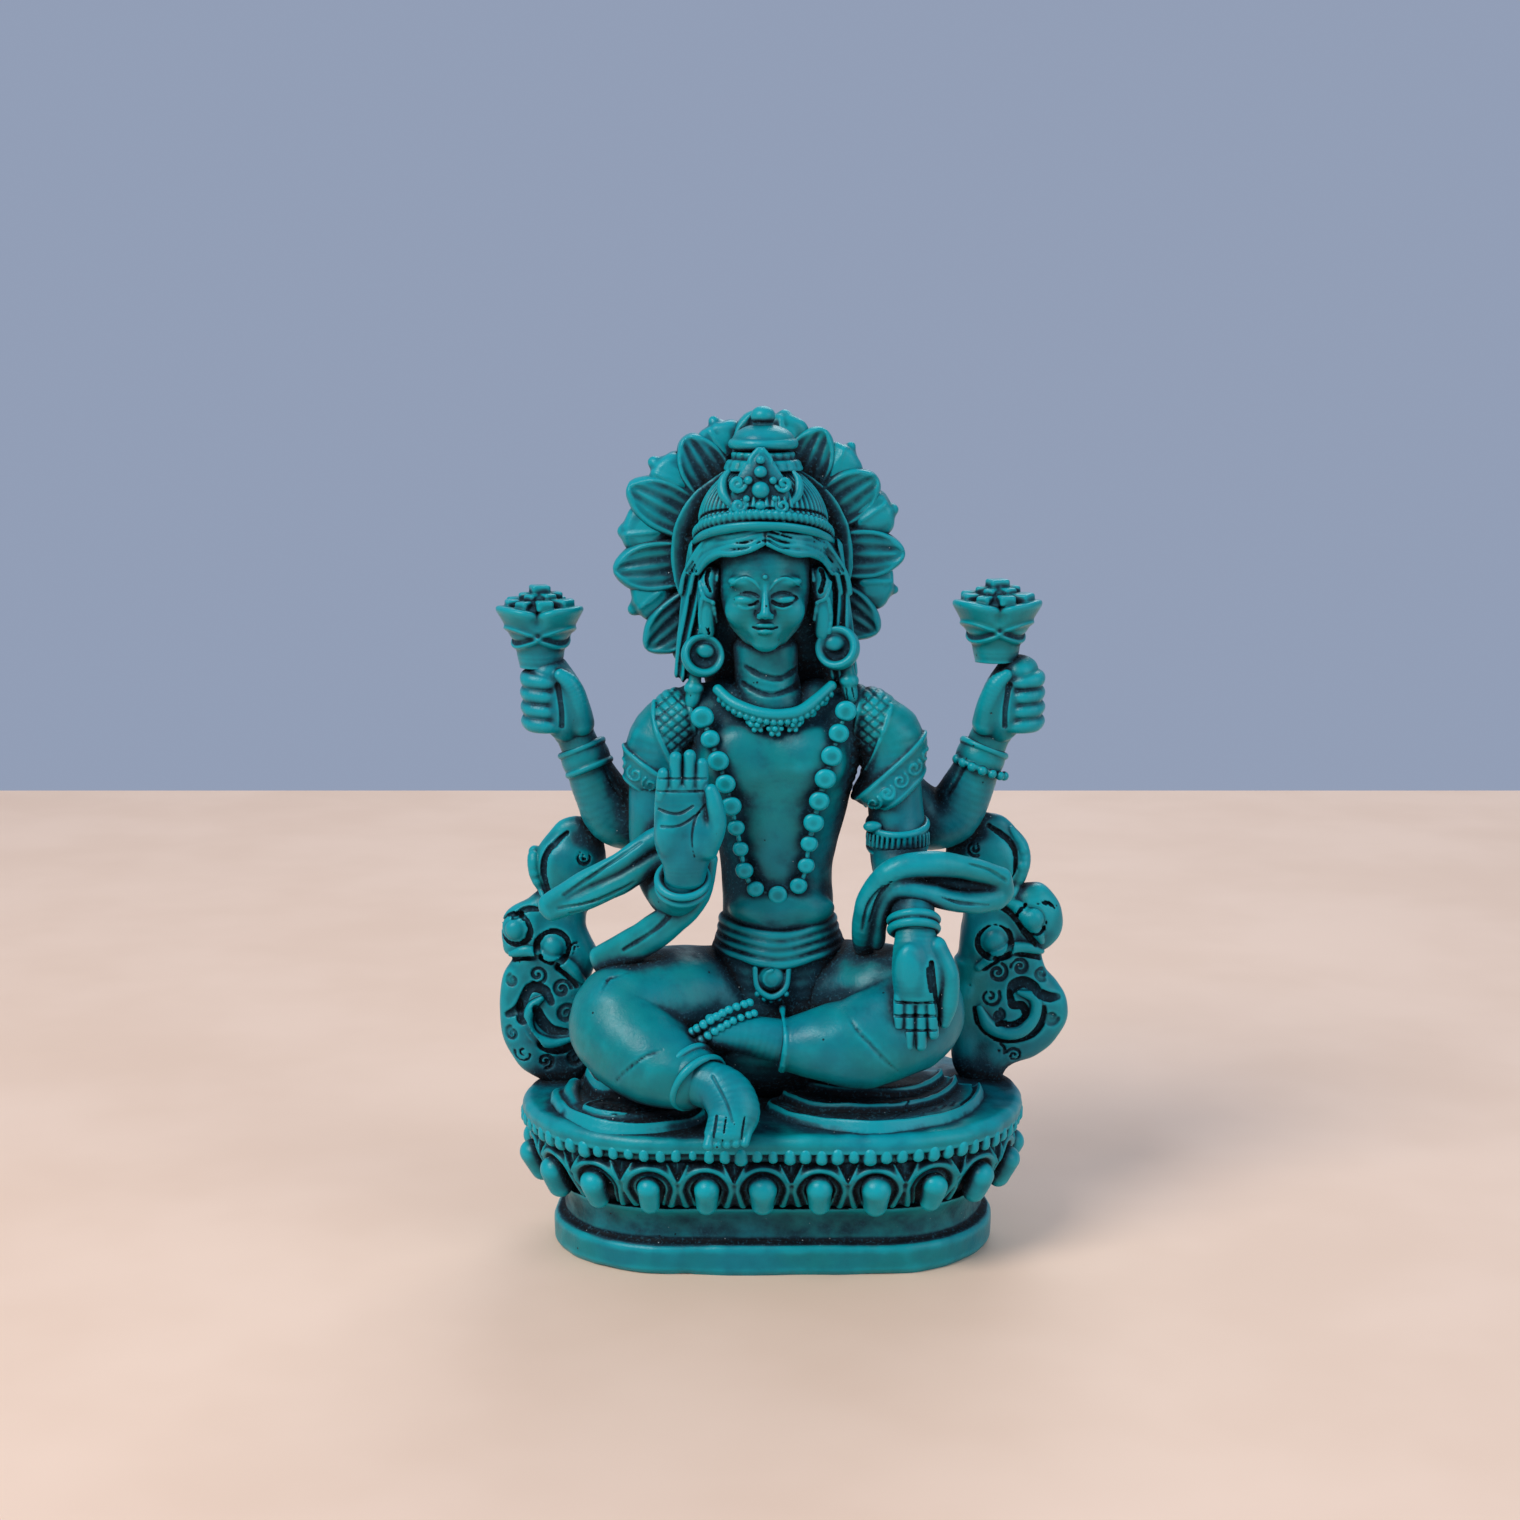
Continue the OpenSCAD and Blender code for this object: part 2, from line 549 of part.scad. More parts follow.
// Lens-shaped petal from the two arcs of its sides, pointing along +X
module ribbed_petal(len, wide) {
    r = (len * len / 4 + wide * wide / 4) / wide;
    intersection() {
        translate([len / 2, r - wide / 2]) circle(r, $fn = 80);
        translate([len / 2, wide / 2 - r]) circle(r, $fn = 80);
    }
}
module halo_ribbed_petals() {
    inner = 13;
    color(resin) scale(fit) at_halo(halo_at.y - halo_t / 2) round_halo(0)
        translate([inner, 0, 0]) linear_extrude(2) ribbed_petal(halo_r - inner, 6.8);
}
module halo_round_petals() {
    inner = 16.7;
    tip_r = 2.8;
    color(resin_dark) scale(fit) at_halo(halo_at.y + halo_t / 2) round_halo(0.5)
        linear_extrude(halo_t) {
            translate([inner, -tip_r]) square([halo_r - inner - tip_r, 2 * tip_r]);
            translate([halo_r - tip_r, 0]) circle(tip_r);
        }
}

// ---------------------------------------------------------------- scroll plates

scroll_y = 9.5;
scroll_t = 5;
// Each lobe is [x, z, r]; the last one is the big spiral that stands on the seat
right_lobes = [[-31, 68, 5], [-33.2, 61.6, 7.2], [-42, 51.8, 4.2], [-36.4, 49.6, 5.4], [-37.6, 44.2, 6.4],
               [-37.4, 32, 6.6], [-38.4, 37, 8.8]];
left_lobes = [[33.6, 68.4, 5.4], [35.2, 63.6, 7.6], [44, 53, 5.2], [37.4, 50.6, 6.4], [40.4, 45, 6.6],
              [38.4, 33, 6.8], [41.4, 37.2, 9.3]];
module scroll_plate(lobes) {
    big = lobes[len(lobes) - 1];
    side = sign(big[0]);
    translate([0, scroll_y, 0]) rotate([90, 0, 0]) difference() {
        linear_extrude(scroll_t) {
            for (q = lobes) translate([q[0], q[1]]) circle(q[2]);
            translate([big[0] - side * 6.4, big[1] - 7]) square([6, 12], center = true);
        }
        for (q = lobes) translate([q[0], q[1], scroll_t - 0.9]) difference() {
            cylinder(r = q[2] * 0.66, h = 2);
            cylinder(r = q[2] * 0.44, h = 2);
        }
    }
}
module right_scroll() {
    color(resin) scale(fit) difference() { scroll_plate(right_lobes); seat_form(); }
}
module left_scroll() {
    color(resin) scale(fit) difference() { scroll_plate(left_lobes); seat_form(); }
}

// ---------------------------------------------------------------- shawls

right_shawl_out = [[-36.4, -9.6, 60.2, 2, 1.8, 2.4], [-31, -10.6, 63.4, 2.4, 2, 3.2],
                   [-25, -11, 67.2, 2.4, 2.2, 3.6], [-19.4, -10, 70.6, 2.4, 2.4, 3.4]];
right_shawl_down = [[-10.2, -14.6, 68.6, 1.6, 1.6, 2.2], [-13.2, -13.6, 61.4, 2.2, 2, 2.4],
                    [-20.6, -11.6, 55, 2.6, 2, 2.4], [-27.6, -8, 49.8, 2.4, 2, 2.4]];
left_shawl_loop = [[15.2, -9.4, 53, 1.6, 1.6, 2], [15.8, -13, 60, 2, 2, 2.8],
                   [19, -15, 66, 2.6, 2.2, 2.8], [26, -14.6, 67, 2.8, 2.2, 3],
                   [33, -11.4, 64.6, 2.8, 2.2, 3.4], [37.2, -8.4, 62, 2.2, 2, 3]];
module right_shawl() {
    color(resin_light) scale(fit) difference() {
        union() { limb(right_shawl_out, 3, small); limb(right_shawl_down, 3, small); }
        right_arm_form();
        right_leg_form();
        torso_form();
        translate([-14.2, -21.4, 68.4]) hand(1);
    }
}
module left_shawl() {
    color(resin_light) scale(fit) difference() {
        limb(left_shawl_loop, 3, small);
        left_arm_form();
        left_leg_form();
    }
}

// ---------------------------------------------------------------- output

plinth();
lotus_drum();
lotus_petals();
petal_bosses();
seat();
rim_beads();
right_hem();
left_hem();
hips();
right_leg();
left_leg();
right_foot();
left_foot();
right_ankle_cuff();
left_anklet();
belt();
belt_pendant();
torso();
neck();
head();
ears();
hair();
headband();
crown_cap();
crown_ornament();
crown_tiers();
crown_umbrella();
crown_knob();
earrings();
collar_necklace();
necklace_rosettes();
bead_garland();
right_sleeve();
left_sleeve();
right_arm();
left_arm();
raised_hand();
lowered_hand();
right_bracelet();
left_bracelet();
left_armlet();
rear_right_arm();
rear_left_arm();
rear_right_fist();
rear_left_fist();
rear_right_bracelet();
rear_left_bracelet();
right_lotus();
left_lotus();
halo_disc();
halo_rim();
halo_ribbed_petals();
halo_round_petals();
right_scroll();
left_scroll();
right_shawl();
left_shawl();
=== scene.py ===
"""Turquoise resin statuette of a seated four-armed deity: the looks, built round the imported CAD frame.

Every sculpted element is modelled as clay: a lattice of distances to a surface, in millimetres, that
forms are added to, cut from and pressed into, and that is then meshed. A lattice covers the box of the
CAD node that its piece stands for. Coordinates repeat the CAD source's own: +Z up, the figure facing -Y.
"""
import json
import math

import bpy
import numpy as np
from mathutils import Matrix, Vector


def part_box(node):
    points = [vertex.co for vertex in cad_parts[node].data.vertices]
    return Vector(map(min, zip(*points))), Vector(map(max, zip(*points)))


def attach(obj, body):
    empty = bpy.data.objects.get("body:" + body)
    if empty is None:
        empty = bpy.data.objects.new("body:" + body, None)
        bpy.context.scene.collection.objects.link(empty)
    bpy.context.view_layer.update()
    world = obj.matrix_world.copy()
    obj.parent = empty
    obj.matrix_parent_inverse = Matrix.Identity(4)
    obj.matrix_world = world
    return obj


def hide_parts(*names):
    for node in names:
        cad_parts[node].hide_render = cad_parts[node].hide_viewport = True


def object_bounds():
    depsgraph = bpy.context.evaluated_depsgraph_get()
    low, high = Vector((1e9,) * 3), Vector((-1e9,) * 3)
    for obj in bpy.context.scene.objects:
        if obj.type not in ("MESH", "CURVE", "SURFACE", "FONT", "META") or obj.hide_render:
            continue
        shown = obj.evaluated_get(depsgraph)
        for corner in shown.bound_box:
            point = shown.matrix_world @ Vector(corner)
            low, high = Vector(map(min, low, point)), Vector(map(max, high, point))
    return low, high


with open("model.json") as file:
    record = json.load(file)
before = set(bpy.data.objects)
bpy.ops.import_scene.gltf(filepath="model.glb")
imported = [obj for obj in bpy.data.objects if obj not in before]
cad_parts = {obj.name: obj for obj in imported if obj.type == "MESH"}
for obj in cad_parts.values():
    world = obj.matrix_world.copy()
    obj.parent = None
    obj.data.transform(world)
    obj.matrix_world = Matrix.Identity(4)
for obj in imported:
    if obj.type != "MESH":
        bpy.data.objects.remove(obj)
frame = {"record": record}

import openvdb as vdb
from mathutils import Vector

cad_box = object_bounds()

WRITTEN_HEIGHT = 140                    # the height that the coordinates below are written for
UNIT = (cad_box[1][2] - cad_box[0][2]) / WRITTEN_HEIGHT         # metres to one of their millimetres
STEP = 0.28      # the lattice's cell
FINE = STEP / 2                         # the cell for the face, hands and jewels
MEDIUM = 0.5 * (STEP + FINE)            # the cell for hair, cloth and scrolls
COARSE = STEP * 2                       # the cell for the shading of hollows
FAR = 3.0                               # distances are kept up to this


# ---------------------------------------------------------------- places taken from the frame

def node_box(name):
    """Lowest and highest corner of a CAD node, in millimetres."""
    lo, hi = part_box(name)
    return np.array(lo) / UNIT, np.array(hi) / UNIT


seat_lo, seat_hi = node_box("seat")
plinth_hi = node_box("plinth")[1]
PLINTH_R = plinth_hi[1]
HALF_RUN = plinth_hi[0] - PLINTH_R      # half the straight run between the base's round ends
SEAT_R = seat_hi[1]
BAND_TOP = seat_lo[2]
SEAT_TOP = seat_hi[2]
COVE_TOP = plinth_hi[2]
SLAB_H = 5.2
BAND_R = 22.6                           # the petal band's radius at the middle of its height
PETALS = 23
PETAL_PHASE = -0.182
RIM_BEADS = 86
HEAD_X = -1.3
CROWN_X = -1.6
CROWN_Y = -2.4
HALO_X, HALO_Y, HALO_Z = -2.0, 7.0, 115.6
HALO_PETALS = 11


# ---------------------------------------------------------------- clay

def smooth_min(a, b, k):
    """The smaller of two distances, with the corner between them rounded over k."""
    if k <= 0:
        return np.minimum(a, b)
    h = np.clip(0.5 + 0.5 * (b - a) / k, 0, 1)
    return b + (a - b) * h - k * h * (1 - h)


def smooth_max(a, b, k):
    return -smooth_min(-a, -b, k)


class Clay:
    """A block of clay: distances to its surface on a lattice, negative inside."""

    def __init__(self, lo, hi, step):
        self.step = step
        self.first = np.floor(np.asarray(lo) / step).astype(int) - 3
        count = np.ceil(np.asarray(hi) / step).astype(int) + 4 - self.first
        self.d = np.full(count, FAR, np.float32)

    def window(self, lo, hi):
        """The lattice's slices for a box, and the coordinates of their points, ready to broadcast."""
        a = np.maximum(np.floor(np.asarray(lo) / self.step).astype(int) - self.first, 0)
        b = np.minimum(np.ceil(np.asarray(hi) / self.step).astype(int) + 1 - self.first, self.d.shape)
        if (a >= b).any():
            return None
        axes = []
        for k in range(3):
            shape = [1, 1, 1]
            shape[k] = -1
            line = (np.arange(a[k], b[k]) + self.first[k]) * self.step
            axes.append(line.astype(np.float32).reshape(shape))
        return tuple(slice(a[k], b[k]) for k in range(3)), axes

    def field(self, forms, margin):
        """The distance to a list of forms, in the window that holds them all."""
        at = self.window(np.min([f[1] for f in forms], axis=0) - margin,
                         np.max([f[2] for f in forms], axis=0) + margin)
        if at is None:
            return None, None
        whole = at[0]
        out = np.full([s.stop - s.start for s in whole], FAR, np.float32)
        for distance, lo, hi in forms:
            part = self.window(lo - margin, hi + margin)
            if part is None:
                continue
            inner = tuple(slice(p.start - w.start, p.stop - w.start) for p, w in zip(part[0], whole))
            out[inner] = np.minimum(out[inner], distance(*part[1]))
        return whole, out

    def add(self, forms, blend=0.0):
        at, v = self.field(forms, 1 + blend)
        if at is not None:
            self.d[at] = smooth_min(self.d[at], v, blend)
        return self

    def cut(self, forms, blend=0.0):
        at, v = self.field(forms, 1 + blend)
        if at is not None:
            self.d[at] = -smooth_min(-self.d[at], v, blend)
        return self

    def press(self, amount):
        """Moves the surface in by amount(x, y, z); a negative amount raises it."""
        at, axes = self.window(self.first * self.step, (self.first + self.d.shape) * self.step)
        self.d[at] += amount(*axes)
        return self

    def skin(self, a, b, side):
        """The surface's depth where a line from that side meets it, or None.

        Side is one of front, back and top: a and b are x and z for the first two, x and y for top."""
        along, ka, kb = (2, 0, 1) if side == "top" else (1, 0, 2)
        i = int(round(a / self.step)) - self.first[ka]
        j = int(round(b / self.step)) - self.first[kb]
        if not (0 <= i < self.d.shape[ka] and 0 <= j < self.d.shape[kb]):
            return None
        line = self.d[i, j, :] if side == "top" else self.d[i, :, j]
        inside = np.nonzero(line < 0)[0]
        if not len(inside):
            return None
        k, o = (inside[0], -1) if side == "front" else (inside[-1], 1)
        t = line[k] / (line[k] - line[k + o]) if 0 <= k + o < len(line) else 0
        return float((k + o * t + self.first[along]) * self.step)

    def trace(self, points, width=0.28, depth=0.3, raised=False, side="front"):
        """Draws a line on the surface as seen from a side: cut in to a depth, or raised as a cord.

        A point may have a third value, the width there as a share of the line's."""
        out = -1 if side == "front" else 1
        rows = []
        for p in spline(points, 6):
            share = p[2] if len(p) > 2 else 1
            r = width * share
            at = self.skin(p[0], p[1], side)
            if at is None:
                continue
            at += out * ((depth - width) if raised else (width - depth)) * share
            spot = (p[0], p[1], at) if side == "top" else (p[0], at, p[1])
            rows.append((*spot, r))
        if len(rows) > 1:
            forms = tube(rows, 1)
            if raised:
                self.add(forms, 0.15)
            else:
                self.cut(forms, 0.12)
        return self


# ---------------------------------------------------------------- forms: (distance, low, high)

def spline(points, n):
    """Catmull-Rom curve through points of any width, with n steps to a span."""
    p = np.array(points, float)
    out = []
    for i in range(len(p) - 1):
        a, b, c, d = p[max(i - 1, 0)], p[i], p[i + 1], p[min(i + 2, len(p) - 1)]
        for t in np.arange(n) / n:
            out.append(0.5 * (2 * b + (c - a) * t + (2 * a - 5 * b + 4 * c - d) * t * t
                              + (3 * b - a - 3 * c + d) * t ** 3))
    out.append(p[-1])
    return np.array(out)


def scaled_distance(dx, dy, dz, rx, ry, rz):
    """Near enough the distance to an ellipsoid, from offsets to its centre."""
    k = np.sqrt((dx / rx) ** 2 + (dy / ry) ** 2 + (dz / rz) ** 2) + 1e-6
    g = np.sqrt((dx / rx ** 2) ** 2 + (dy / ry ** 2) ** 2 + (dz / rz ** 2) ** 2) + 1e-6
    return k * (k - 1) / g


def ball(c, r):
    """A ball, or an ellipsoid when r has three radii."""
    c = np.asarray(c, float)
    r = np.broadcast_to(np.asarray(r, float), 3)
    return [(lambda x, y, z: scaled_distance(x - c[0], y - c[1], z - c[2], *r), c - r, c + r)]


def cone(a, b, ra, rb):
    """A rod with round ends, whose radius or three radii run from ra to rb."""
    a, b = np.asarray(a, float), np.asarray(b, float)
    ra = np.broadcast_to(np.asarray(ra, float), 3)
    rb = np.broadcast_to(np.asarray(rb, float), 3)
    ab = b - a
    length2 = max(float(ab @ ab), 1e-9)
    is_round = np.ptp(ra) + np.ptp(rb) < 1e-9

    def distance(x, y, z):
        dx, dy, dz = x - a[0], y - a[1], z - a[2]
        t = np.clip((dx * ab[0] + dy * ab[1] + dz * ab[2]) / length2, 0, 1)
        dx, dy, dz = dx - t * ab[0], dy - t * ab[1], dz - t * ab[2]
        if is_round:
            return np.sqrt(dx * dx + dy * dy + dz * dz) - (ra[0] + t * (rb[0] - ra[0]))
        return scaled_distance(dx, dy, dz, *(ra[k] + t * (rb[k] - ra[k]) for k in range(3)))
    return [(distance, np.minimum(a - ra, b - rb), np.maximum(a + ra, b + rb))]


def tube(rows, n=5):
    """A limb through rows of x, y, z, r or x, y, z, rx, ry, rz."""
    q = spline(rows, n)
    forms = []
    for p, s in zip(q[:-1], q[1:]):
        forms += cone(p[:3], s[:3], p[3:] if len(p) > 4 else p[3], s[3:] if len(s) > 4 else s[3])
    return forms


def strap(rows, out, n, relief):
    """A band through rows of x, y, z, half width, half thickness, with its face turned to out.

    relief(u, s) is the share of its thickness at u across, -1 to 1, and s along, 0 to 1."""
    q = spline(rows, n)
    tangent = np.gradient(q[:, :3], axis=0)
    tangent /= np.linalg.norm(tangent, axis=1)[:, None]
    face = np.broadcast_to(np.asarray(out, float), tangent.shape)
    face = face - (face * tangent).sum(1)[:, None] * tangent
    face /= np.linalg.norm(face, axis=1)[:, None]
    across = np.cross(tangent, face)
    last = len(q) - 1
    return [strap_part(q[i:i + 2], (across[i:i + 2], face[i:i + 2], tangent[i:i + 2]), i / last,
                       1 / last, relief) for i in range(last)]


def strap_part(q, frames, start, span, relief):
    """One straight stretch of a strap, between two rows and their frames."""
    a, ab = q[0][:3], q[1][:3] - q[0][:3]
    length2 = max(float(ab @ ab), 1e-9)

    def distance(x, y, z):
        d = [x - a[0], y - a[1], z - a[2]]
        t = np.clip((d[0] * ab[0] + d[1] * ab[1] + d[2] * ab[2]) / length2, 0, 1)
        d = [d[k] - t * ab[k] for k in range(3)]
        u, v, w = (sum(d[k] * (f[0][k] + t * (f[1][k] - f[0][k])) for k in range(3)) for f in frames)
        half_w = q[0][3] + t * (q[1][3] - q[0][3])
        half_t = q[0][4] + t * (q[1][4] - q[0][4])
        half_t = half_t * relief(u / half_w, start + t * span)
        r = np.minimum(half_t, half_w) * 0.85
        du, dv = np.abs(u) - half_w + r, np.abs(v) - half_t + r
        edge = np.sqrt(np.maximum(du, 0) ** 2 + np.maximum(dv, 0) ** 2 + w * w)
        return edge + np.minimum(np.maximum(du, dv), 0) - r
    reach = max(q[0][3:].max(), q[1][3:].max()) * 1.2
    return (distance, np.minimum(q[0][:3], q[1][:3]) - reach, np.maximum(q[0][:3], q[1][:3]) + reach)


def ring(c, axis, big, thick, flat=1.0):
    """A ring round an axis through c; flat stretches its section along the axis."""
    c, axis = np.asarray(c, float), np.asarray(axis, float)
    axis = axis / np.linalg.norm(axis)

    def distance(x, y, z):
        dx, dy, dz = x - c[0], y - c[1], z - c[2]
        h = dx * axis[0] + dy * axis[1] + dz * axis[2]
        rad = np.sqrt(np.maximum(dx * dx + dy * dy + dz * dz - h * h, 0))
        return np.sqrt((rad - big) ** 2 + (h / flat) ** 2) - thick
    reach = big + thick * max(flat, 1)
    return [(distance, c - reach, c + reach)]


def solid(distance, lo, hi):
    """A form from any distance function and the box that it fills."""
    return [(distance, np.asarray(lo, float), np.asarray(hi, float))]


def round_box(a, b, edge):
    """The distance to a corner between two faces at distances a and b, rounded by edge."""
    a, b = a + edge, b + edge
    return np.sqrt(np.maximum(a, 0) ** 2 + np.maximum(b, 0) ** 2) + np.minimum(np.maximum(a, b), 0) - edge


def polygon(points, n=4):
    """The outline of a closed smooth curve through points, as a distance in two coordinates."""
    p = np.array(points, float)
    p = spline(np.vstack([p[-2:], p, p[:2]]), n)[2 * n:-n]

    def outline(x, z):
        nearest = np.full(np.broadcast(x, z).shape, 1e6, np.float32)
        inside = np.zeros(nearest.shape, bool)
        for a, b in zip(p, np.roll(p, -1, axis=0)):
            e = b - a
            dx, dz = x - a[0], z - a[1]
            t = np.clip((dx * e[0] + dz * e[1]) / max(e @ e, 1e-9), 0, 1)
            nearest = np.minimum(nearest, (dx - t * e[0]) ** 2 + (dz - t * e[1]) ** 2)
            if a[1] != b[1]:
                crossed = (a[1] > z) != (b[1] > z)
                inside ^= crossed & (x < a[0] + (z - a[1]) * e[0] / e[1])
        return np.where(inside, -1, 1) * np.sqrt(nearest)
    return outline


def round_block(c, size, turn=0.0):
    """A rough block with rounded edges, turned about the vertical."""
    ca, sa = math.cos(turn), math.sin(turn)

    def distance(x, y, z):
        a, b = (x - c[0]) * ca + (y - c[1]) * sa, (y - c[1]) * ca - (x - c[0]) * sa
        side = round_box(np.abs(a) - size[0], np.abs(b) - size[1], 0.5)
        return round_box(side, np.abs(z - c[2]) - size[2], 0.4)
    far = 1.5 * max(size)
    return solid(distance, [v - far for v in c], [v + far for v in c])


def mirrored(rows, about):
    """Rows mirrored left to right in the plane x = about."""
    return [(2 * about - r[0], *r[1:]) for r in rows]


def tapered(points, by):
    """A line's points with a third value, the width's share, which is less at both ends."""
    last = len(points) - 1
    return [(*p, 1 - by * (i in (0, last))) for i, p in enumerate(points)]


def plan_box(points):
    """The lowest and the highest of an outline's two coordinates, with a margin of 1 round it."""
    return [[pick(p[k] for p in points) + out for k in (0, 1)] for pick, out in ((min, -1), (max, 1))]


def along_curve(rows, n):
    """The length of a curve through rows, and a function for its point at a distance along it."""
    curve = spline(rows, n)
    lengths = np.concatenate(([0], np.cumsum(np.linalg.norm(np.diff(curve, axis=0), axis=1))))
    return lengths[-1], lambda s: [float(np.interp(s, lengths, curve[:, k])) for k in range(3)]


def cos_sin(degrees):
    return math.cos(math.radians(degrees)), math.sin(math.radians(degrees))


def leaning(degrees):
    """An upright axis, leant forward."""
    c, s = cos_sin(degrees)
    return np.array((0, -s, c))


def bump(x, width):
    """A soft hill of height 1."""
    return np.exp(-(x / width) ** 2)


def rise(a, b, x):
    """A soft step from 0 at a to 1 at b."""
    t = np.clip((x - a) / (b - a), 0, 1)
    return t * t * (3 - 2 * t)


def spiral(cx, cz, r0, r1, start, turns, hand=1):
    """Points of a spiral in x and z, from radius r0 to r1, starting at an angle in degrees."""
    out = []
    for t in np.linspace(0, 1, max(6, int(abs(turns) * 12))):
        a = math.radians(start) + hand * turns * 2 * math.pi * t
        r = r0 + (r1 - r0) * t
        out.append((cx + r * math.cos(a), cz + r * math.sin(a)))
    return out


class Uneven:
    """The slow unevenness of a hand-made surface, to press with: smooth random hills about pitch wide."""

    def __init__(self, pitch, seed):
        self.pitch = pitch
        self.hills = np.random.default_rng(seed).normal(size=[int(200 / pitch) + 6] * 3).astype(np.float32)

    def blend(self, line):
        """Cubic weights of the hills near each place on a line, and the first hill used."""
        t = (line.ravel() + 60) / self.pitch + 1
        i = np.floor(t).astype(int)
        f = t - i
        first = i.min() - 1
        weights = np.zeros((len(t), i.max() + 3 - first), np.float32)
        cubics = ((1 - f) ** 3, 3 * f ** 3 - 6 * f ** 2 + 4, 1 + 3 * f + 3 * f ** 2 - 3 * f ** 3, f ** 3)
        for k, w in enumerate(cubics):
            weights[np.arange(len(t)), i - 1 - first + k] = w / 6
        return weights, first

    def __call__(self, x, y, z):
        (wx, i), (wy, j), (wz, k) = (self.blend(line) for line in (x, y, z))
        hills = self.hills[i:i + wx.shape[1], j:j + wy.shape[1], k:k + wz.shape[1]]
        return 3 * np.einsum("ai,bj,ck,ijk->abc", wx, wy, wz, hills, optimize=True)


pieces = {}


def sculpt(node, step=STEP, grow=1.5):
    """A fresh block of clay round the CAD node that it will stand for."""
    lo, hi = node_box(node)
    pieces[node] = Clay(lo - grow, hi + grow, step)
    return pieces[node]


# ---------------------------------------------------------------- the lotus base

def fold(v, pitch, phase=0.0):
    """Repeats a line: offsets from the nearest of marks that stand a pitch apart."""
    return ((v / pitch - phase + 0.5) % 1 - 0.5) * pitch


def round_base(x, y, r=BAND_R):
    """How far out a point is from the base's middle line, and how far along the outline at radius r."""
    over = np.maximum(np.abs(x) - HALF_RUN, 0)
    near = np.minimum(np.abs(x), HALF_RUN)
    run = np.where(y < 0, near, 2 * HALF_RUN - near) + r * np.arctan2(over, -y)
    return np.hypot(over, y), np.where(x < 0, -run, run)


def pitch_of(count, r=BAND_R):
    """The spacing of so many marks round the base at radius r."""
    return (4 * HALF_RUN + 2 * math.pi * r) / count


def plinth_shape(x, y, z):
    out, run = round_base(x, y)
    slab = round_box(out - PLINTH_R, np.abs(z - SLAB_H / 2) - SLAB_H / 2, 1.3)
    neck_r = 18.5 + 1.7 * ((np.maximum(z, SLAB_H - 1) - 7.4) / 4) ** 2
    neck = np.maximum(out - neck_r, np.abs(z - COVE_TOP / 2) - COVE_TOP / 2)
    return smooth_min(slab, neck, 0.7)


def band_r(z):
    """The petal band flares out upward."""
    return 19.4 + 4.4 * np.sin(math.pi / 2 * np.clip((z - COVE_TOP + 0.2) / 8, 0, 1.1))


def drum_shape(x, y, z):
    out, run = round_base(x, y)
    middle = (COVE_TOP + BAND_TOP) / 2
    return round_box(out - band_r(z) + 1.1, np.abs(z - middle) - (BAND_TOP - COVE_TOP) / 2 - 0.4, 0.3)


petal_luck = np.random.default_rng(11).normal(0, 1, (PETALS, 3))


def petal_frame(run):
    """Each petal's own sideways coordinate, and which petal it is."""
    pitch = pitch_of(PETALS)
    which = np.round(run / pitch - PETAL_PHASE).astype(int) % PETALS
    return fold(run, pitch, PETAL_PHASE), which


def petals_shape(x, y, z):
    """Round arches, one inside another, with a small peak in each gap between them."""
    out, run = round_base(x, y)
    u, which = petal_frame(run)
    u = u + 0.12 * petal_luck[which, 0]
    arch_z = 15.2 + 0.15 * petal_luck[which, 1]
    below = np.maximum(arch_z - z, 0)
    from_top = np.hypot(u, np.maximum(z - arch_z, 0)) + 0.24 * below
    relief = 1.35 * bump(from_top - 4.15, 0.8) + 1.0 * bump(from_top - 2.65, 0.6)
    relief += 0.65 * rise(3.2, 3.6, from_top) - 0.55 * rise(2.5, 2.1, from_top)
    gap = pitch_of(PETALS) / 2 - np.abs(u)
    peak = bump(np.abs(gap) - (z - 16.6) * 0.5, 0.3) * rise(16.4, 17.2, z)
    relief += 0.75 * peak * rise(3.9, 4.6, from_top) + 0.35 * bump(gap, 0.22) * rise(18, 18.6, z)
    face = out - (band_r(z) - 1.35 + relief)
    middle = (COVE_TOP + BAND_TOP) / 2
    body = round_box(face * 0.8, np.abs(z - middle) - (BAND_TOP - COVE_TOP) / 2, 0.35)
    return np.maximum(body, band_r(z) - 2.3 - out)


def bosses_shape(x, y, z):
    out, run = round_base(x, y)
    u, which = petal_frame(run)
    a, b = (22.5, 13.1), (24.0, 16.1)
    dx, dz = b[0] - a[0], b[1] - a[1]
    t = np.clip(((out - a[0]) * dx + (z - a[1]) * dz) / (dx * dx + dz * dz), 0, 1)
    wide = (1.85 + 0.24 * t) * (1 + 0.05 * petal_luck[which, 2])
    return np.sqrt(u * u + (out - a[0] - t * dx) ** 2 + (z - a[1] - t * dz) ** 2) - wide


def seat_shape(x, y, z):
    out, run = round_base(x, y)
    middle = (BAND_TOP + SEAT_TOP) / 2
    lip = SEAT_R + 0.9 * rise(21.9, 22.5, z)
    rim = round_box(out - lip, np.abs(z - middle) - (SEAT_TOP - BAND_TOP) / 2, 1.7)
    dome = z - SEAT_TOP - 0.35 + 0.5 * (out / SEAT_R) ** 4
    return np.minimum(rim, np.maximum(dome, np.maximum(out - SEAT_R + 1.5, middle - z)))


bead_luck = np.random.default_rng(5).normal(0, 1, (RIM_BEADS, 2))


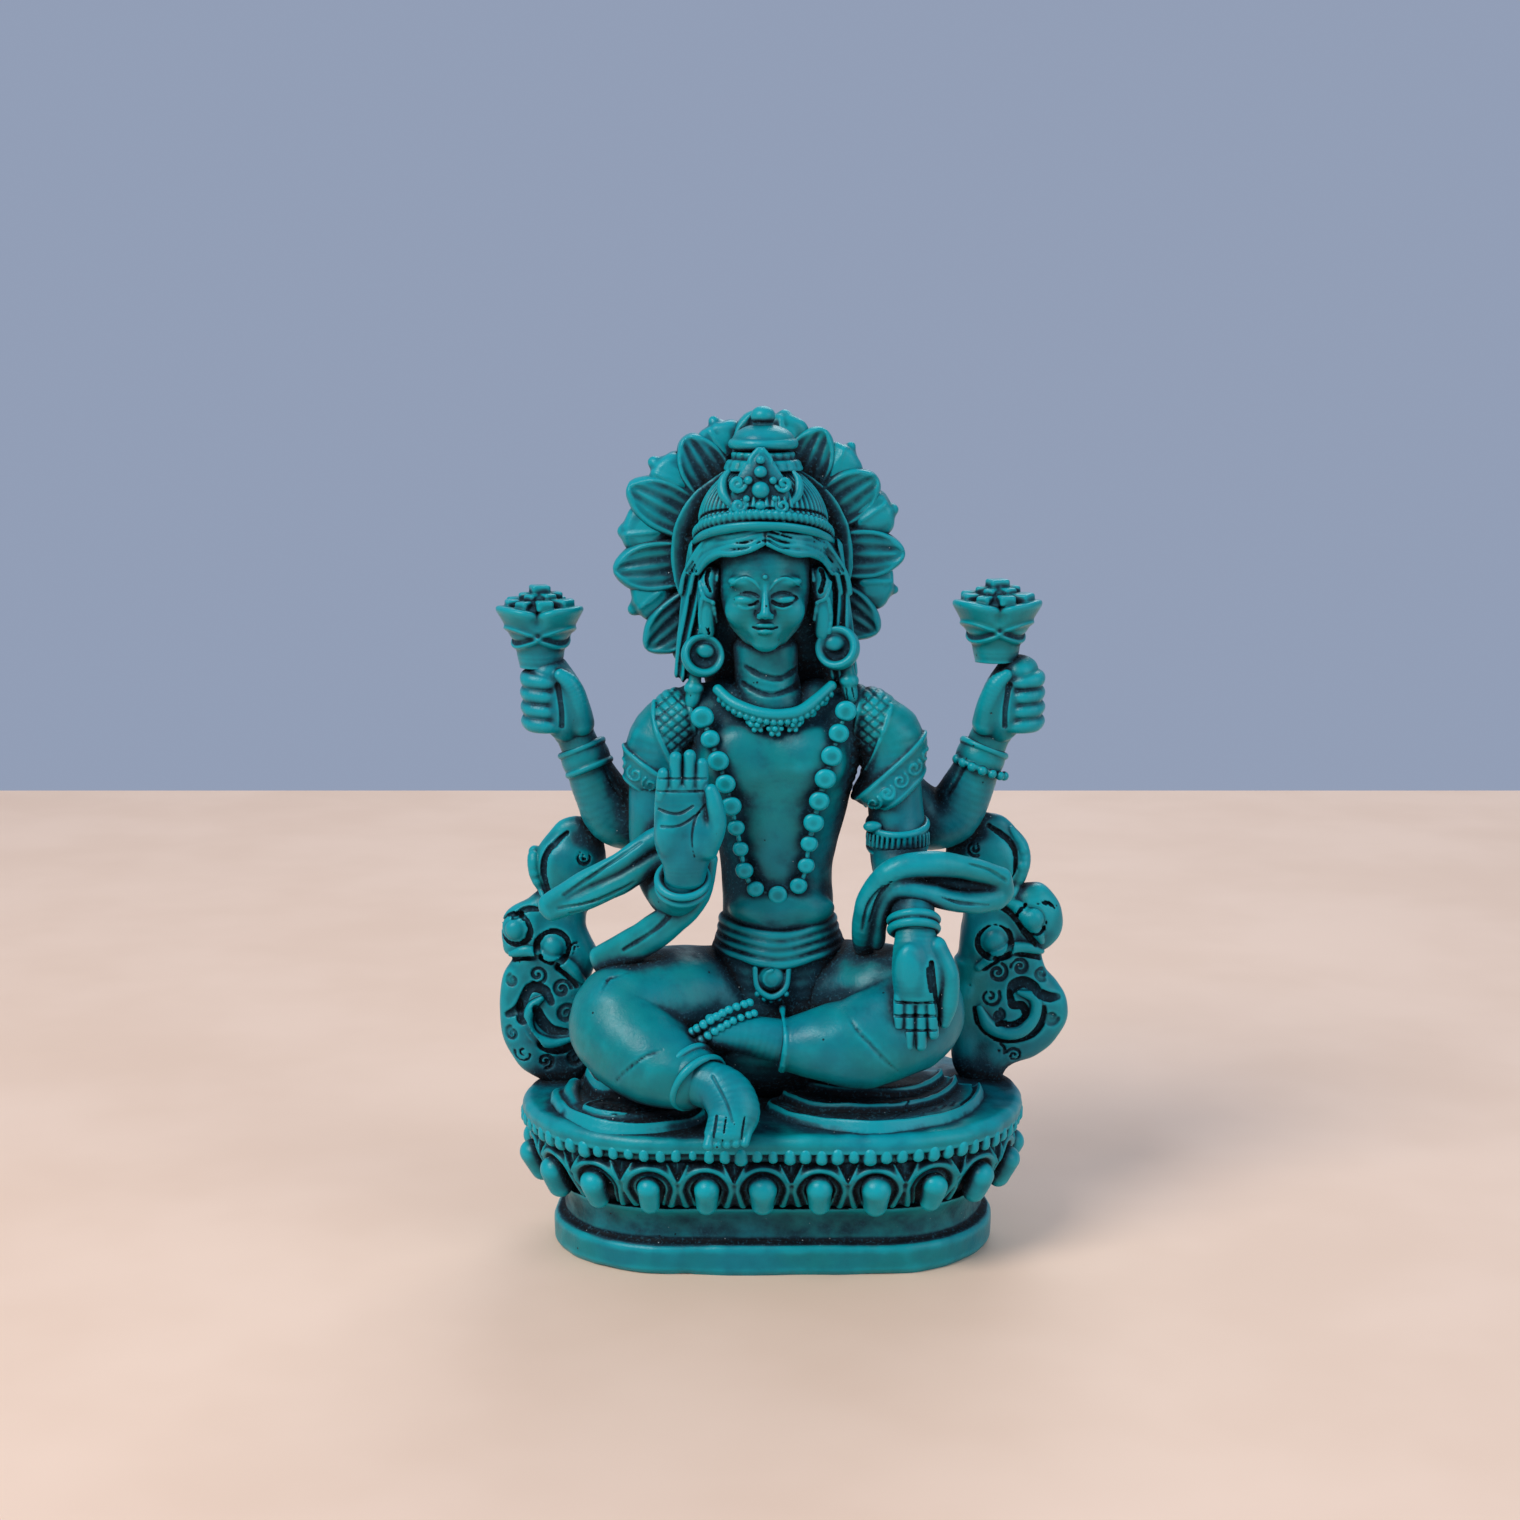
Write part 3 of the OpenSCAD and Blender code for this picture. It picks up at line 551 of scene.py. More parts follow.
def beads_shape(x, y, z):
    out, run = round_base(x, y, SEAT_R)
    pitch = pitch_of(RIM_BEADS, SEAT_R)
    which = np.round(run / pitch).astype(int) % RIM_BEADS
    u = fold(run, pitch)
    drop = 21.75 + 0.15 * bead_luck[which, 0]
    dz = z - np.clip(z, drop, 22.4)
    return np.sqrt(u * u + (out - SEAT_R - 0.05) ** 2 + dz * dz) - 1.12 - 0.06 * bead_luck[which, 1]


base_lo = np.array(cad_box[0]) / UNIT
base_hi = np.array(cad_box[1]) / UNIT
base_hi[2] = SEAT_TOP + 2
for node, shape in (("plinth", plinth_shape), ("lotus_drum", drum_shape), ("lotus_petals", petals_shape),
                    ("petal_bosses", bosses_shape), ("seat", seat_shape), ("rim_beads", beads_shape)):
    sculpt(node).add(solid(shape, base_lo, base_hi))

# a soft parting line where the plinth's slab meets its cove
pieces["plinth"].press(lambda x, y, z: 0.35 * bump(z - SLAB_H - 0.35, 0.3) + 0 * x + 0 * y)


# ---------------------------------------------------------------- hems spread on the seat

CLOTH_BORDER = 0.7                      # how far in from the edge the rolled border lies


def cloth_on_seat(points, top):
    """A leaf of cloth lying on the seat, with a rolled border: its outline (x, y) and its height."""
    plan = polygon(points)

    def shape(x, y, z):
        inside = -plan(x, y)
        roll = 0.4 * bump(inside - CLOTH_BORDER, 0.4)
        height = top * rise(-0.3, 1.0, inside) + roll - 0.25 * bump(inside - CLOTH_BORDER - 0.9, 0.3)
        return np.maximum(z - SEAT_TOP - height, SEAT_TOP - 1.2 - z) * 0.85 + 1.2 * rise(0.1, -0.5, inside)
    lo, hi = plan_box(points)
    return solid(shape, (*lo, SEAT_TOP - 2), (*hi, SEAT_TOP + top + 2))


clay = sculpt("right_hem", MEDIUM)
clay.add(cloth_on_seat([(-36.4, -5), (-35.4, -12), (-32.6, -18), (-28, -22), (-22, -23), (-16.4, -21.4),
                        (-12, -19), (-11, -14), (-18, -8), (-30, -2)], 1.3))
clay.add(cloth_on_seat([(-31.6, -16.4), (-28, -20), (-23, -20.8), (-17.6, -18.8), (-13.6, -16.6), (-13, -12),
                        (-20, -9), (-28, -11)], 2.2), 0.2)
clay.add(cloth_on_seat([(-31.6, 1), (-31, -6), (-28.4, -10.6), (-23.4, -12.4), (-16, -13.4), (-14, -10),
                        (-22, -3)], 4.0), 0.2)
clay.add(tube([(-36, -3.6, 25.4, 1.1), (-35.6, -9, 25.8, 1.2), (-34, -13.6, 25.6, 1)]), 0.4)
clay.add(tube([(-33.4, -1.6, 26.4, 1.2), (-33.6, -7, 26.6, 1.3), (-32.4, -12, 26, 1)]), 0.4)
for inset, start in ((0, -29.6), (1.1, -28.6)):
    points = [(start, -18.6), (-24, -20.2), (-18.6, -18.2), (-14.6, -15.6)]
    clay.trace([(x, y + inset) for x, y in points], 0.22, 0.32, side="top")
for i in range(9):
    x = -28 + 1.5 * i
    y = -16.6 - 0.8 * math.sin(i * 0.7)
    points = [(x, y - 0.8), (x + 0.7, y + 0.2), (x + 0.2, y + 1.1), (x + 1.1, y + 1.6)]
    clay.trace(points, 0.24, 0.32, side="top")

clay = sculpt("left_hem", MEDIUM)
clay.add(cloth_on_seat([(-1, -10), (1, -15.6), (5, -19), (10, -22), (15.4, -23.6), (20, -22.8), (25, -20.6),
                        (30, -17), (33.6, -11), (35.6, -3), (34, 2), (24, 2), (10, -4)], 1.5))
clay.add(cloth_on_seat([(1, -9), (4, -13.4), (9, -16.6), (15, -18), (21, -17), (26.4, -13.4), (30, -8),
                        (31.6, -2), (30, 2), (20, 0), (8, -4)], 2.7), 0.2)
clay.add(cloth_on_seat([(4, -7), (8, -11), (13, -13), (18, -13.4), (23.4, -11.6), (27.6, -7), (29, -1),
                        (22, 1), (10, -2)], 4.0), 0.2)
clay.trace([(31, -12.4), (33.2, -7), (33.8, -1)], 0.25, 0.3, side="top")
clay.trace([(14, -18.4), (16.6, -22.4), (18.6, -21.6), (20.4, -18.2), (22.6, -14.6)], 0.24, 0.35, side="top")
for i in range(8):
    shift = 1.2 * (i % 2)
    points = [(0.6 + 0.7 * i, -12.6 - 0.55 * i + shift), (3.2 + 0.9 * i, -15 - 0.5 * i + shift)]
    clay.trace(points, 0.18, 0.28, side="top")
for i in range(4):
    x = 24 + 1.7 * i
    clay.trace([(x, -18.4 + 1.7 * i), (x + 0.8, -16.6 + 1.7 * i)], 0.2, 0.25, side="top")


# ---------------------------------------------------------------- the seated body

clay = sculpt("hips")
clay.add(tube([(1, 4, 30, 20, 13, 6.5), (1.2, 1, 36, 17, 12.4, 8), (1, -1.6, 46, 13, 9.6, 7),
               (0.8, -3, 54, 9.8, 7.4, 6)]))
for i in range(-7, 8):
    lean = 1.5 * i
    points = [(1 + lean * 0.62, 53), (1 + lean, 46), (1 + lean * 1.25, 38), (1 + lean * 1.4, 31)]
    clay.trace(points, 0.45, 0.5, side="back")

TORSO_ROWS = [(0.9, -3, 56, 9, 6.6, 5), (0.8, -3, 62, 8.9, 6.3, 6), (0.7, -3.2, 68, 9.6, 6.6, 6),
              (0.5, -3.6, 76, 12, 7.6, 7), (0.3, -3.8, 83, 14.2, 8, 7), (0.2, -3.2, 88, 14.6, 6.6, 5)]
clay = sculpt("torso", grow=4)
clay.add(tube(TORSO_ROWS, 10))
for inner, outer in (((-6, -2.4, 91.5), (-15.4, -2.6, 89.5)), ((6.6, -2.4, 91.5), (16, -2.6, 89.5))):
    clay.add(cone(inner, outer, 4.4, 4.8), 2)
for side in (-1, 1):
    clay.add(ball((0.3 + side * 5.6, -9.4, 83.6), (5.4, 2.7, 5)), 2.4)
    clay.add(ball((0.3 + side * 7.5, 3.2, 84), (5.4, 1.8, 7)), 2)
clay.add(ball((0.8, -8.4, 72), (4.6, 1.9, 8)), 2.5)
clay.add(ball((1.4, -8, 58.6), (8.4, 3, 3.6)), 2)
clay.press(lambda x, y, z: 0.5 * bump(x - 0.5, 1.3) * rise(0, 2, y) + 0 * z)
clay.cut(solid(lambda x, y, z: z - 50 + 0 * x + 0 * y, (-30, -20, 44), (30, 20, 50)))

RIGHT_LEG_ROWS = [(-8, -1.5, 41, 9.6), (-17, -7, 42, 9.6), (-24.2, -11.5, 40, 9), (-19.6, -17.6, 36, 7.6),
                  (-14.6, -21.2, 34, 5.6)]
clay = sculpt("right_leg")
clay.add(tube(RIGHT_LEG_ROWS, 12))
clay.add(ball((-24.6, -12.6, 40.6), (7.2, 6.4, 8.2)), 2)
clay.trace(tapered([(-25.7, 32.6), (-23.6, 35.7), (-20.4, 38.4), (-17.6, 39.4)], 0.5), 0.19, 0.26)
clay.trace(tapered([(-27.8, 46.6), (-26.4, 48.6), (-23, 49.4)], 0.6), 0.24, 0.26)

LEFT_LEG_ROWS = [(9.5, -1.5, 42, 9.4), (17, -7, 43, 9.2), (22.2, -11.2, 42, 9), (15.5, -16.4, 38.6, 7.6),
                 (9, -17.6, 38.4, 6), (3.6, -17.6, 38.4, 4.6)]
clay = sculpt("left_leg")
clay.add(tube(LEFT_LEG_ROWS, 12))
clay.add(ball((23, -13, 41.6), (7.2, 6.4, 8)), 2)
clay.add(ball((14, -15.6, 39.6), (7, 5.4, 5.6)), 2)
clay.trace(tapered([(11.8, 44.3), (13.4, 42.2), (15.7, 39.9), (18.2, 37), (20.8, 34.3)], 0.5), 0.2, 0.28)
# the cuff at the shin's end, gathered in lines
for i in range(5):
    at = -2.8 + 0.75 * i
    clay.trace([(at, 43.6), (at + 0.8, 40.4), (at + 0.5, 35.6)], 0.2, 0.3)
clay.trace([(1.2, 44.4), (2, 40), (1.4, 34.6)], 0.55, 0.4, raised=True)
clay.trace([(-3.4, 43.4), (-2.6, 40), (-3, 35.6)], 0.45, 0.35, raised=True)

clay = sculpt("right_foot", FINE)
clay.add(tube([(-12, -23.4, 33.8, 3.5, 3.4, 3.9), (-8, -25.6, 33, 4.3, 3.1, 4),
               (-6.3, -27.8, 30.2, 4.2, 2.6, 3.4), (-7.2, -29.6, 27.4, 3.8, 2, 1.9)]))
for i, x in enumerate((-4.5, -5.9, -7.3, -8.8, -10.3)):
    r = 0.82 + 0.18 * (i == 4)
    clay.add(cone((x + 0.7, -29.4, 28.6 - 0.12 * i), (x, -31, 26.2 - 0.1 * i), r, r * 0.9), 0.25)
    if i < 4:
        clay.trace([(x - 0.1, 30.2), (x - 0.75, 26.2)], 0.17, 0.4)
clay.trace([(-9.6, 36), (-7.4, 32.4), (-6.4, 29.6)], 0.2, 0.2)

clay = sculpt("left_foot", FINE)
clay.add(tube([(1, -17.8, 39, 4, 3.8, 3.6), (-3.6, -18.4, 40, 4.2, 3.2, 3.2),
               (-8.4, -19, 40.6, 3.2, 2.6, 2.6)]))
for i in range(5):
    z = 38.4 + 1.15 * i
    clay.add(cone((-8.6, -19 - 0.2 * i, z + 0.2), (-11.2 + 0.25 * i, -19, z), 0.9, 0.75), 0.3)

clay = sculpt("right_ankle_cuff", FINE, 3)
SHIN = np.array((0.62, -0.66, -0.42))
for shift, wide in ((-1.5, 0.6), (1.5, 0.65)):
    clay.add(ring(np.array((-13, -22.2, 34.2)) + SHIN * shift, SHIN, 4.9, wide), 0.1)
clay.add(ring((-13, -22.2, 34.2), SHIN, 4.35, 0.75, 2), 0.1)
for i in range(5):
    clay.trace(spiral(-14.6 + 1.1 * i, 31.6 + 1.4 * i, 0.75, 0.3, 40 * i, 1, 1 - 2 * (i % 2)), 0.2, 0.3)

clay = sculpt("left_anklet", FINE, 2.5)
ANKLET = [(-12.9, -19.8, 41), (-10, -20.8, 43.2), (-7.1, -20, 44.7), (-3.8, -18.2, 45.4)]
for drop in (0, 1.7):
    for q in spline([(x + 0.4 * drop, y - 0.2 * drop, z - drop) for x, y, z in ANKLET], 3):
        clay.add(ball(q, 0.8), 0.05)

# ---------------------------------------------------------------- belt

clay = sculpt("belt", MEDIUM)
for i, wide in ((-1.4, 9.9), (-0.45, 9.5), (0.5, 9.2), (1.4, 8.9)):
    def belt_shape(x, y, z, level=53.6 + 1.55 * i, wide=wide):
        sag = level - 1.3 * np.exp(-((x - 0.8) / 6) ** 2) * (y < 0)
        r = np.sqrt(((x - 0.8) / wide) ** 2 + ((y + 3) / (wide - 1)) ** 2)
        return np.hypot((r - 1) * 8.6, z - sag) - 0.85
    clay.add(solid(belt_shape, (-12, -14, 46), (14, 8, 60)), 0.12)

clay = sculpt("belt_pendant", FINE)
clay.add(ball((-0.2, -12, 47.8), (2.2, 1.6, 2.2)))
clay.add(tube([(*p[:1], -13.1, *p[1:], 0.36) for p in spiral(-0.2, 47.9, 1.5, 0.3, 90, 1.4)], 1), 0.1)
clay.add(tube([(-2.9, -12, 49.4, 0.45), (-2.4, -12.8, 46.4, 0.55), (-0.2, -13.2, 45, 0.6),
               (2, -12.8, 46.4, 0.55), (2.5, -12, 49.4, 0.45)]), 0.2)
for i in range(-2, 3):
    clay.add(ball((-0.2 + 1.15 * i, -12.8, 44.4 + 0.25 * i * i), 0.55), 0.08)

# ---------------------------------------------------------------- neck and head

clay = sculpt("neck")
clay.add(tube([(-0.2, -3.2, 92, 6.4, 5.8, 3), (-0.9, -3.2, 96, 5.4, 5.2, 3), (-1.3, -3.2, 101, 5.2, 5, 3)]))
clay.trace([(-4.6, 98.4), (-2, 97.1), (1.3, 96.6), (3.9, 97.8)], 0.3, 0.35)
clay.trace([(-5, 95.6), (-2.4, 94.4), (0.4, 94.1), (4.9, 95.4)], 0.3, 0.35)


def face_point(dx, y, z):
    return (HEAD_X + dx, y, z)


def face_line(points, side=1):
    """Points given from the face's middle, on one side of it."""
    return [(HEAD_X + side * p[0], *p[1:]) for p in points]


LID = [(1.1, 109.5), (1.9, 109.05), (2.9, 108.9), (3.9, 109.15), (5.1, 109.9)]
UNDER_LID = [(1.7, 108.6), (2.9, 108.3), (4.1, 108.7)]
CREASE = [(1.1, 110.3), (1.9, 110.75), (3, 110.9), (4.1, 110.6), (5, 110)]
BROW = [(0.8, 111.5, 0.7), (1.8, 112.7, 1), (3.2, 113.2, 1), (4.7, 112.6, 0.8), (5.8, 111.4, 0.4)]
NOSTRIL = [(1.0, 106.9), (1.55, 107.4), (1.5, 108)]
MOUTH = [(-1.9, 105.4), (-0.8, 105.15), (0, 105.25), (0.8, 105.15), (1.9, 105.4)]
CHIN = [(-0.9, 104.1), (0, 103.95), (0.9, 104.1)]
clay = sculpt("head", FINE)
clay.add(tube([(-1.3, -7.2, 104, 4.2, 3.8, 2.6), (-1.3, -5.8, 107, 6.4, 6, 4), (-1.3, -4, 111.6, 7.5, 8, 6),
               (-1.3, -3.4, 116, 7.5, 8.2, 5.4)]))
clay.add(ball(face_point(0, -10, 102.7), (1.9, 1.5, 1.5)), 1.3)
clay.add(ball(face_point(0, -10.9, 105.2), (2.5, 1.2, 1.8)), 1.2)
for side in (-1, 1):
    clay.add(ball(face_point(side * 3.9, -9.5, 107.8), (2.3, 1.9, 2.3)), 1.5)
    clay.add(ball(face_point(side * 3.2, -10.4, 112.6), (2.6, 1.3, 0.9)), 1)
    clay.cut(ball(face_point(side * 2.8, -13.2, 110.5), (2.1, 1.5, 0.6)), 0.8)
    clay.add(ball(face_point(side * 3, -10.8, 109.7), (1.85, 1.1, 0.8)), 0.3)
    clay.trace(face_line(LID, side), 0.24, 0.4)
    clay.trace(face_line(UNDER_LID, side), 0.22, 0.12, raised=True)
    clay.trace(face_line(CREASE, side), 0.19, 0.26)
    clay.trace(face_line(BROW, side), 0.28, 0.2, raised=True)
    clay.add(ball(face_point(side * 0.85, -12.2, 107.2), (0.6, 0.75, 0.5)), 0.35)
bridge, nose_tip = face_point(0, -11.3, 111.8), face_point(0, -12.9, 107.7)
clay.add(cone(bridge, nose_tip, (0.5, 0.8, 0.8), (0.72, 0.95, 0.7)), 0.7)
clay.add(ball(face_point(0, -12.8, 107.5), (0.72, 0.72, 0.62)), 0.4)
for side in (-1, 1):
    clay.cut(ball(face_point(side * 0.45, -12.9, 106.8), (0.22, 0.3, 0.2)), 0.1)
    clay.add(ball(face_point(side * 0.5, -11.95, 105.75), (0.95, 0.7, 0.42)), 0.2)
    clay.trace(face_line(NOSTRIL, side), 0.14, 0.2)
clay.add(ball(face_point(0, -11.85, 104.75), (1.25, 0.8, 0.5)), 0.25)
clay.trace(face_line(MOUTH), 0.19, 0.38)
clay.trace(face_line(CHIN), 0.18, 0.15)
clay.add(ball(face_point(0, -11.9, 113.4), 0.42), 0.1)

# hair: a mass behind, strands combed sideways from the parting, and two long locks
HAIR_LOCK = [(-11.9, -3.4, 117.4, 2, 1.8), (-12.6, -3.2, 111, 2.2, 1.9), (-13.1, -3.6, 104.5, 2.3, 1.9),
             (-14, -4.4, 97, 2.1, 1.7)]


def three_strands(u, s):
    """Relief of a lock: three strands that twist a little along it."""
    return 0.8 + 0.24 * np.cos(2 * math.pi * 1.5 * u + 2.4 * np.sin(5 * s))


clay = sculpt("hair", MEDIUM, 3)
clay.add(tube([(-1.3, 0, 117, 11.6, 7, 7), (-1.3, 0.4, 110, 12, 6, 6), (-1, 1.2, 102, 11.8, 4.6, 5),
               (-0.6, 2.4, 94, 10.4, 3.4, 4)]))
for rows in (HAIR_LOCK, mirrored(HAIR_LOCK, HEAD_X)):
    clay.add(strap(rows, (0, -1, 0), 6, three_strands), 0.6)
FRINGE = [(0.5, -12.6, 118.7), (2.6, -12.6, 117.8), (5, -11.7, 117.3), (7.3, -9.9, 116.8), (9.2, -7.4, 115.8),
          (10.8, -5.6, 113.6), (11.6, -4.8, 110)]


def fringe_line(side, i, ends):
    """A strand's course from the parting to the temple, the i-th up from the brow."""
    rows = []
    for dx, y, z in FRINGE[:ends]:
        fall = rise(117, 113.5, z)
        rows.append((HEAD_X + side * (dx + 0.5 * i * fall), y + 0.16 * i,
                     z + 0.86 * i * (1 - fall) + 0.16 * math.sin(dx * 1.1 + 2.1 * i)))
    return rows


for side in (-1, 1):
    clay.add(tube([(HEAD_X + side * dx, y + 1.9, z + 1.6, 1.6) for dx, y, z in FRINGE[:6]]), 0.3)
    for i in range(5):
        clay.add(tube([(*p, 0.5) for p in fringe_line(side, i, 5 + (i + 1) % 3)]), 0.05)
    for i in range(4):
        clay.trace([(x, z) for x, y, z in fringe_line(side, i + 0.5, 6)], 0.17, 0.4)
for i in range(-6, 7):
    clay.trace([(HEAD_X + 1.45 * i, 120), (HEAD_X + 1.5 * i + 0.4, 110), (HEAD_X + 1.35 * i - 0.3, 101),
                (HEAD_X + 1.2 * i, 93)], 0.4, 0.45, side="back")

clay = sculpt("ears", FINE, 2.5)
EAR_ROWS = [(-9.8, -5.4, 112.8, 1.5, 1.5, 1.9), (-10.5, -5.8, 110, 1.7, 1.5, 2.4),
            (-10.6, -6, 105, 1.3, 1.3, 2.6)]
EAR_RIM = [(-9, 112.4), (-8.9, 114.4), (-10.2, 115), (-11.5, 113.8), (-11.7, 111.6), (-11, 109.6),
           (-9.8, 109)]
EAR_LINES = ((EAR_RIM, 0.34, 0.36, True),
             ([(-10.3, 113.9), (-10.6, 112.4), (-10.2, 110.6)], 0.45, 0.8, False),
             ([(-11.4, 109.4), (-11.8, 106.8), (-11.6, 104)], 0.36, 0.34, True),
             ([(-9.6, 108.8), (-9.3, 106.6), (-9.1, 104)], 0.36, 0.34, True),
             ([(-10.5, 107.6), (-10.6, 105.6), (-10.4, 103.8)], 0.42, 0.9, False))
for side in (-1, 1):
    clay.add(tube(EAR_ROWS if side < 0 else mirrored(EAR_ROWS, HEAD_X)))
    for points, width, depth, raised in EAR_LINES:
        clay.trace(points if side < 0 else mirrored(points, HEAD_X), width, depth, raised)

# ---------------------------------------------------------------- head dress

def round_crown(x, y):
    """Distance from the crown's axis, and angle round it from the front."""
    dx, dy = x - CROWN_X, y - CROWN_Y
    return np.hypot(dx, dy), np.arctan2(dx, -dy)


def behind_halo(x, y, z):
    """What lies behind the halo's face, to cut crown pieces off with."""
    return HALO_Y - 3.6 - y + 0 * x + 0 * z


BEHIND_HALO = solid(behind_halo, (-20, 3, 110), (20, 12, 135))
BAND_TILT = 0.36                        # how far the crown's foot drops for each step back


def headband_shape(x, y, z):
    r, angle = round_crown(x, y)
    up = z + BAND_TILT * (y - CROWN_Y)
    roll = np.hypot(r - 11, up - 117.7) - 0.68
    cord = np.hypot(r - 10.8, (up - 119.4) / 1.15) - 0.8 + 0.2 * np.abs(np.sin(angle * 33)) ** 2
    inner = round_box(r - 10.6, np.abs(up - 118.7) - 1.3, 0.3)
    return np.minimum(np.minimum(roll, cord), np.maximum(inner, 8.5 - r))


clay = sculpt("headband", FINE, 2.5)
clay.add(solid(headband_shape, (-16, -16, 112), (13, 5, 127))).cut(BEHIND_HALO)


def cap_shape(x, y, z):
    """A dome of upright ribs; a groove low round it leaves a row of short ribs."""
    r, angle = round_crown(x, y)
    up = z + BAND_TILT * (y - CROWN_Y) * rise(130, 122, z)
    ribs = np.abs(np.sin(angle * 31))
    size = np.sqrt((r / 10.7) ** 2 + (np.maximum(up - 120.2, 0) / 11) ** 2)
    dome = (size - 1) * 10
    relief = 0.34 * (1 - ribs ** 1.4) * rise(131, 128.4, z) + 0.45 * bump(up - 121.4, 0.26)
    return np.maximum(dome + relief, 119 - up)


clay = sculpt("crown_cap", FINE)
clay.add(solid(cap_shape, (-13.5, -15, 118), (10.5, 5, 133))).cut(BEHIND_HALO)

clay = sculpt("crown_ornament", FINE)
ORNAMENT_LEAN = math.radians(12)


def on_ornament(a, b, out=0.0):
    """A point of the ornament's tilted plate: a sideways, b up, out from it."""
    return (-2 + a, -10.9 - out + b * math.sin(ORNAMENT_LEAN) * 0.8, 126.2 + b)


def ornament_cord(rows, side=1):
    """A cord on the plate through rows of a, b, out and radius, or three radii."""
    return tube([(*on_ornament(side * row[0], *row[1:3]), *row[3:]) for row in rows])


clay.add(ornament_cord([(0, -3.2, 0, 3.4, 1, 2), (0, 0, 0, 4.6, 1.1, 3), (0, 3.4, 0, 3, 1, 2.4),
                        (0, 6.6, 0, 0.8, 0.8, 1)]))
for a, b, r in ((0, 0.9, 1.5), (0, 3.7, 1.05), (0, 5.6, 0.7), (-1.9, 2.4, 0.7), (1.9, 2.4, 0.7),
                (0, -1.5, 0.95), (-2.2, -0.4, 0.6), (2.2, -0.4, 0.6)):
    clay.add(ball(on_ornament(a, b, 1.2), (r, r * 0.9, r)), 0.05)
for side in (-1, 1):
    for cx, cz, r, start in ((3.6, 1.9, 1.25, 200), (3.4, -1.5, 1.15, 150)):
        pts = spiral(cx, cz, r, 0.25, start, 1.2)
        clay.add(tube([(*on_ornament(side * a, b, 1), 0.44) for a, b in pts], 1), 0.05)
    clay.add(ornament_cord([(4.4, -1.6, 0, 0.6), (5.8, 0.2, -0.8, 0.9), (6, 2.2, -1.4, 0.7),
                            (5.2, 3.6, -1.6, 0.3)], side), 0.2)
    clay.add(ornament_cord([(1.2, 4.2, 0.5, 0.42), (1.6, 5.6, 0.4, 0.4), (0.4, 7.2, 0.4, 0.4)], side), 0.1)
for i in range(-3, 4):
    clay.add(ball(on_ornament(1.25 * i, -3.7 + 0.07 * i * i, 0.6), 0.62), 0.08)
clay.add(ornament_cord([(-4.6, -2.2, 0.4, 0.4), (-3, -4.5, 0.7, 0.45), (0, -5.1, 0.8, 0.45),
                        (3, -4.5, 0.7, 0.45), (4.6, -2.2, 0.4, 0.4)]), 0.1)


def tiers_shape(x, y, z):
    r, angle = round_crown(x, y)
    scallop = 0.22 * np.abs(np.sin(angle * 9))
    low = round_box(r - 6 - scallop + 0.4 * (z - 130.6), np.abs(z - 130.6) - 0.9, 0.5)
    mid = round_box(r - 4.9 - scallop, np.abs(z - 132) - 0.7, 0.45)
    top = round_box(r - 3.2, np.abs(z - 133.2) - 0.7, 0.3)
    return np.minimum(np.minimum(low, mid), top)


clay = sculpt("crown_tiers", FINE)
clay.add(solid(tiers_shape, (-9, -10, 129), (6, 6, 135)))


def umbrella_shape(x, y, z):
    """A mushroom cap, hollow below, with a lip."""
    r, angle = round_crown(x, y)
    dome = (np.sqrt((r / 5.1) ** 2 + (np.maximum(z - 134.2, 0) / 3) ** 2) - 1) * 3.4
    under = 133.4 + 1.2 * np.exp(-(r / 3.6) ** 2) - z
    lip = np.hypot(r - 4.75, z - 134) - 0.85
    return np.minimum(np.maximum(dome, under), lip)


clay = sculpt("crown_umbrella", FINE)
clay.add(solid(umbrella_shape, (-8, -9, 132), (5, 5, 138)))

clay = sculpt("crown_knob", FINE)
clay.add(ball((CROWN_X, CROWN_Y, 138.4), (2, 2, 1.6)))
clay.add(ring((CROWN_X, CROWN_Y, 137), (0, 0, 1), 1.2, 0.5), 0.2).add(ball((CROWN_X, CROWN_Y, 137), 1.3), 0.2)

# ---------------------------------------------------------------- jewels

clay = sculpt("earrings", FINE)
for (x, y, z), (dx, dy, dz) in (((-11.4, -5.2, 100.2), (-1.4, -1.2, -6.6)),
                                ((10.4, -5.2, 101.4), (1.9, -1.2, -6.6))):
    turn = math.copysign(1, x)
    face = np.array((-turn * 0.28, -1, 0.3))
    face /= np.linalg.norm(face)
    centre = np.array((x, y - 1.4, z))
    clay.add(ring(centre, face, 2.85, 0.72, 1.6))
    clay.add(ball(centre - face * 0.9, (3, 1.1, 3)), 0.3)
    clay.add(ring(centre + face * 0.9, face, 3.0, 0.42), 0.1)
    clay.cut(ball(centre + face * 1.1 + (0, 0, -0.3), (1.9, 1.5, 1.8)), 0.5)
    clay.add(ball(centre + (-turn * 0.5, -0.2, 0.7), (1.3, 0.6, 1.1)), 0.8)
    drop = np.array((x + dx, y + dy, z + dz))
    clay.add(ball(drop + (0, 0, 1.2), (1.6, 1.5, 1.3)), 0.2)
    clay.add(cone(drop + (0, 0, 1.6), drop + (-0.3 * turn, 0.3, 3.8), 1.1, 0.9), 0.3)
    clay.add(tube([(*(drop + (0, 0, 0.4)), 1.3), (*(drop + (turn * 0.3, 0, -1.2)), 1.15),
                   (*(drop + (turn * 0.6, 0.3, -2.6)), 0.6)]), 0.15)
    for a in (-0.5, 0.4):
        clay.trace([(drop[0] + a, drop[2] + 0.2), (drop[0] + a * 1.2 + turn * 0.4, drop[2] - 2)], 0.16, 0.3)

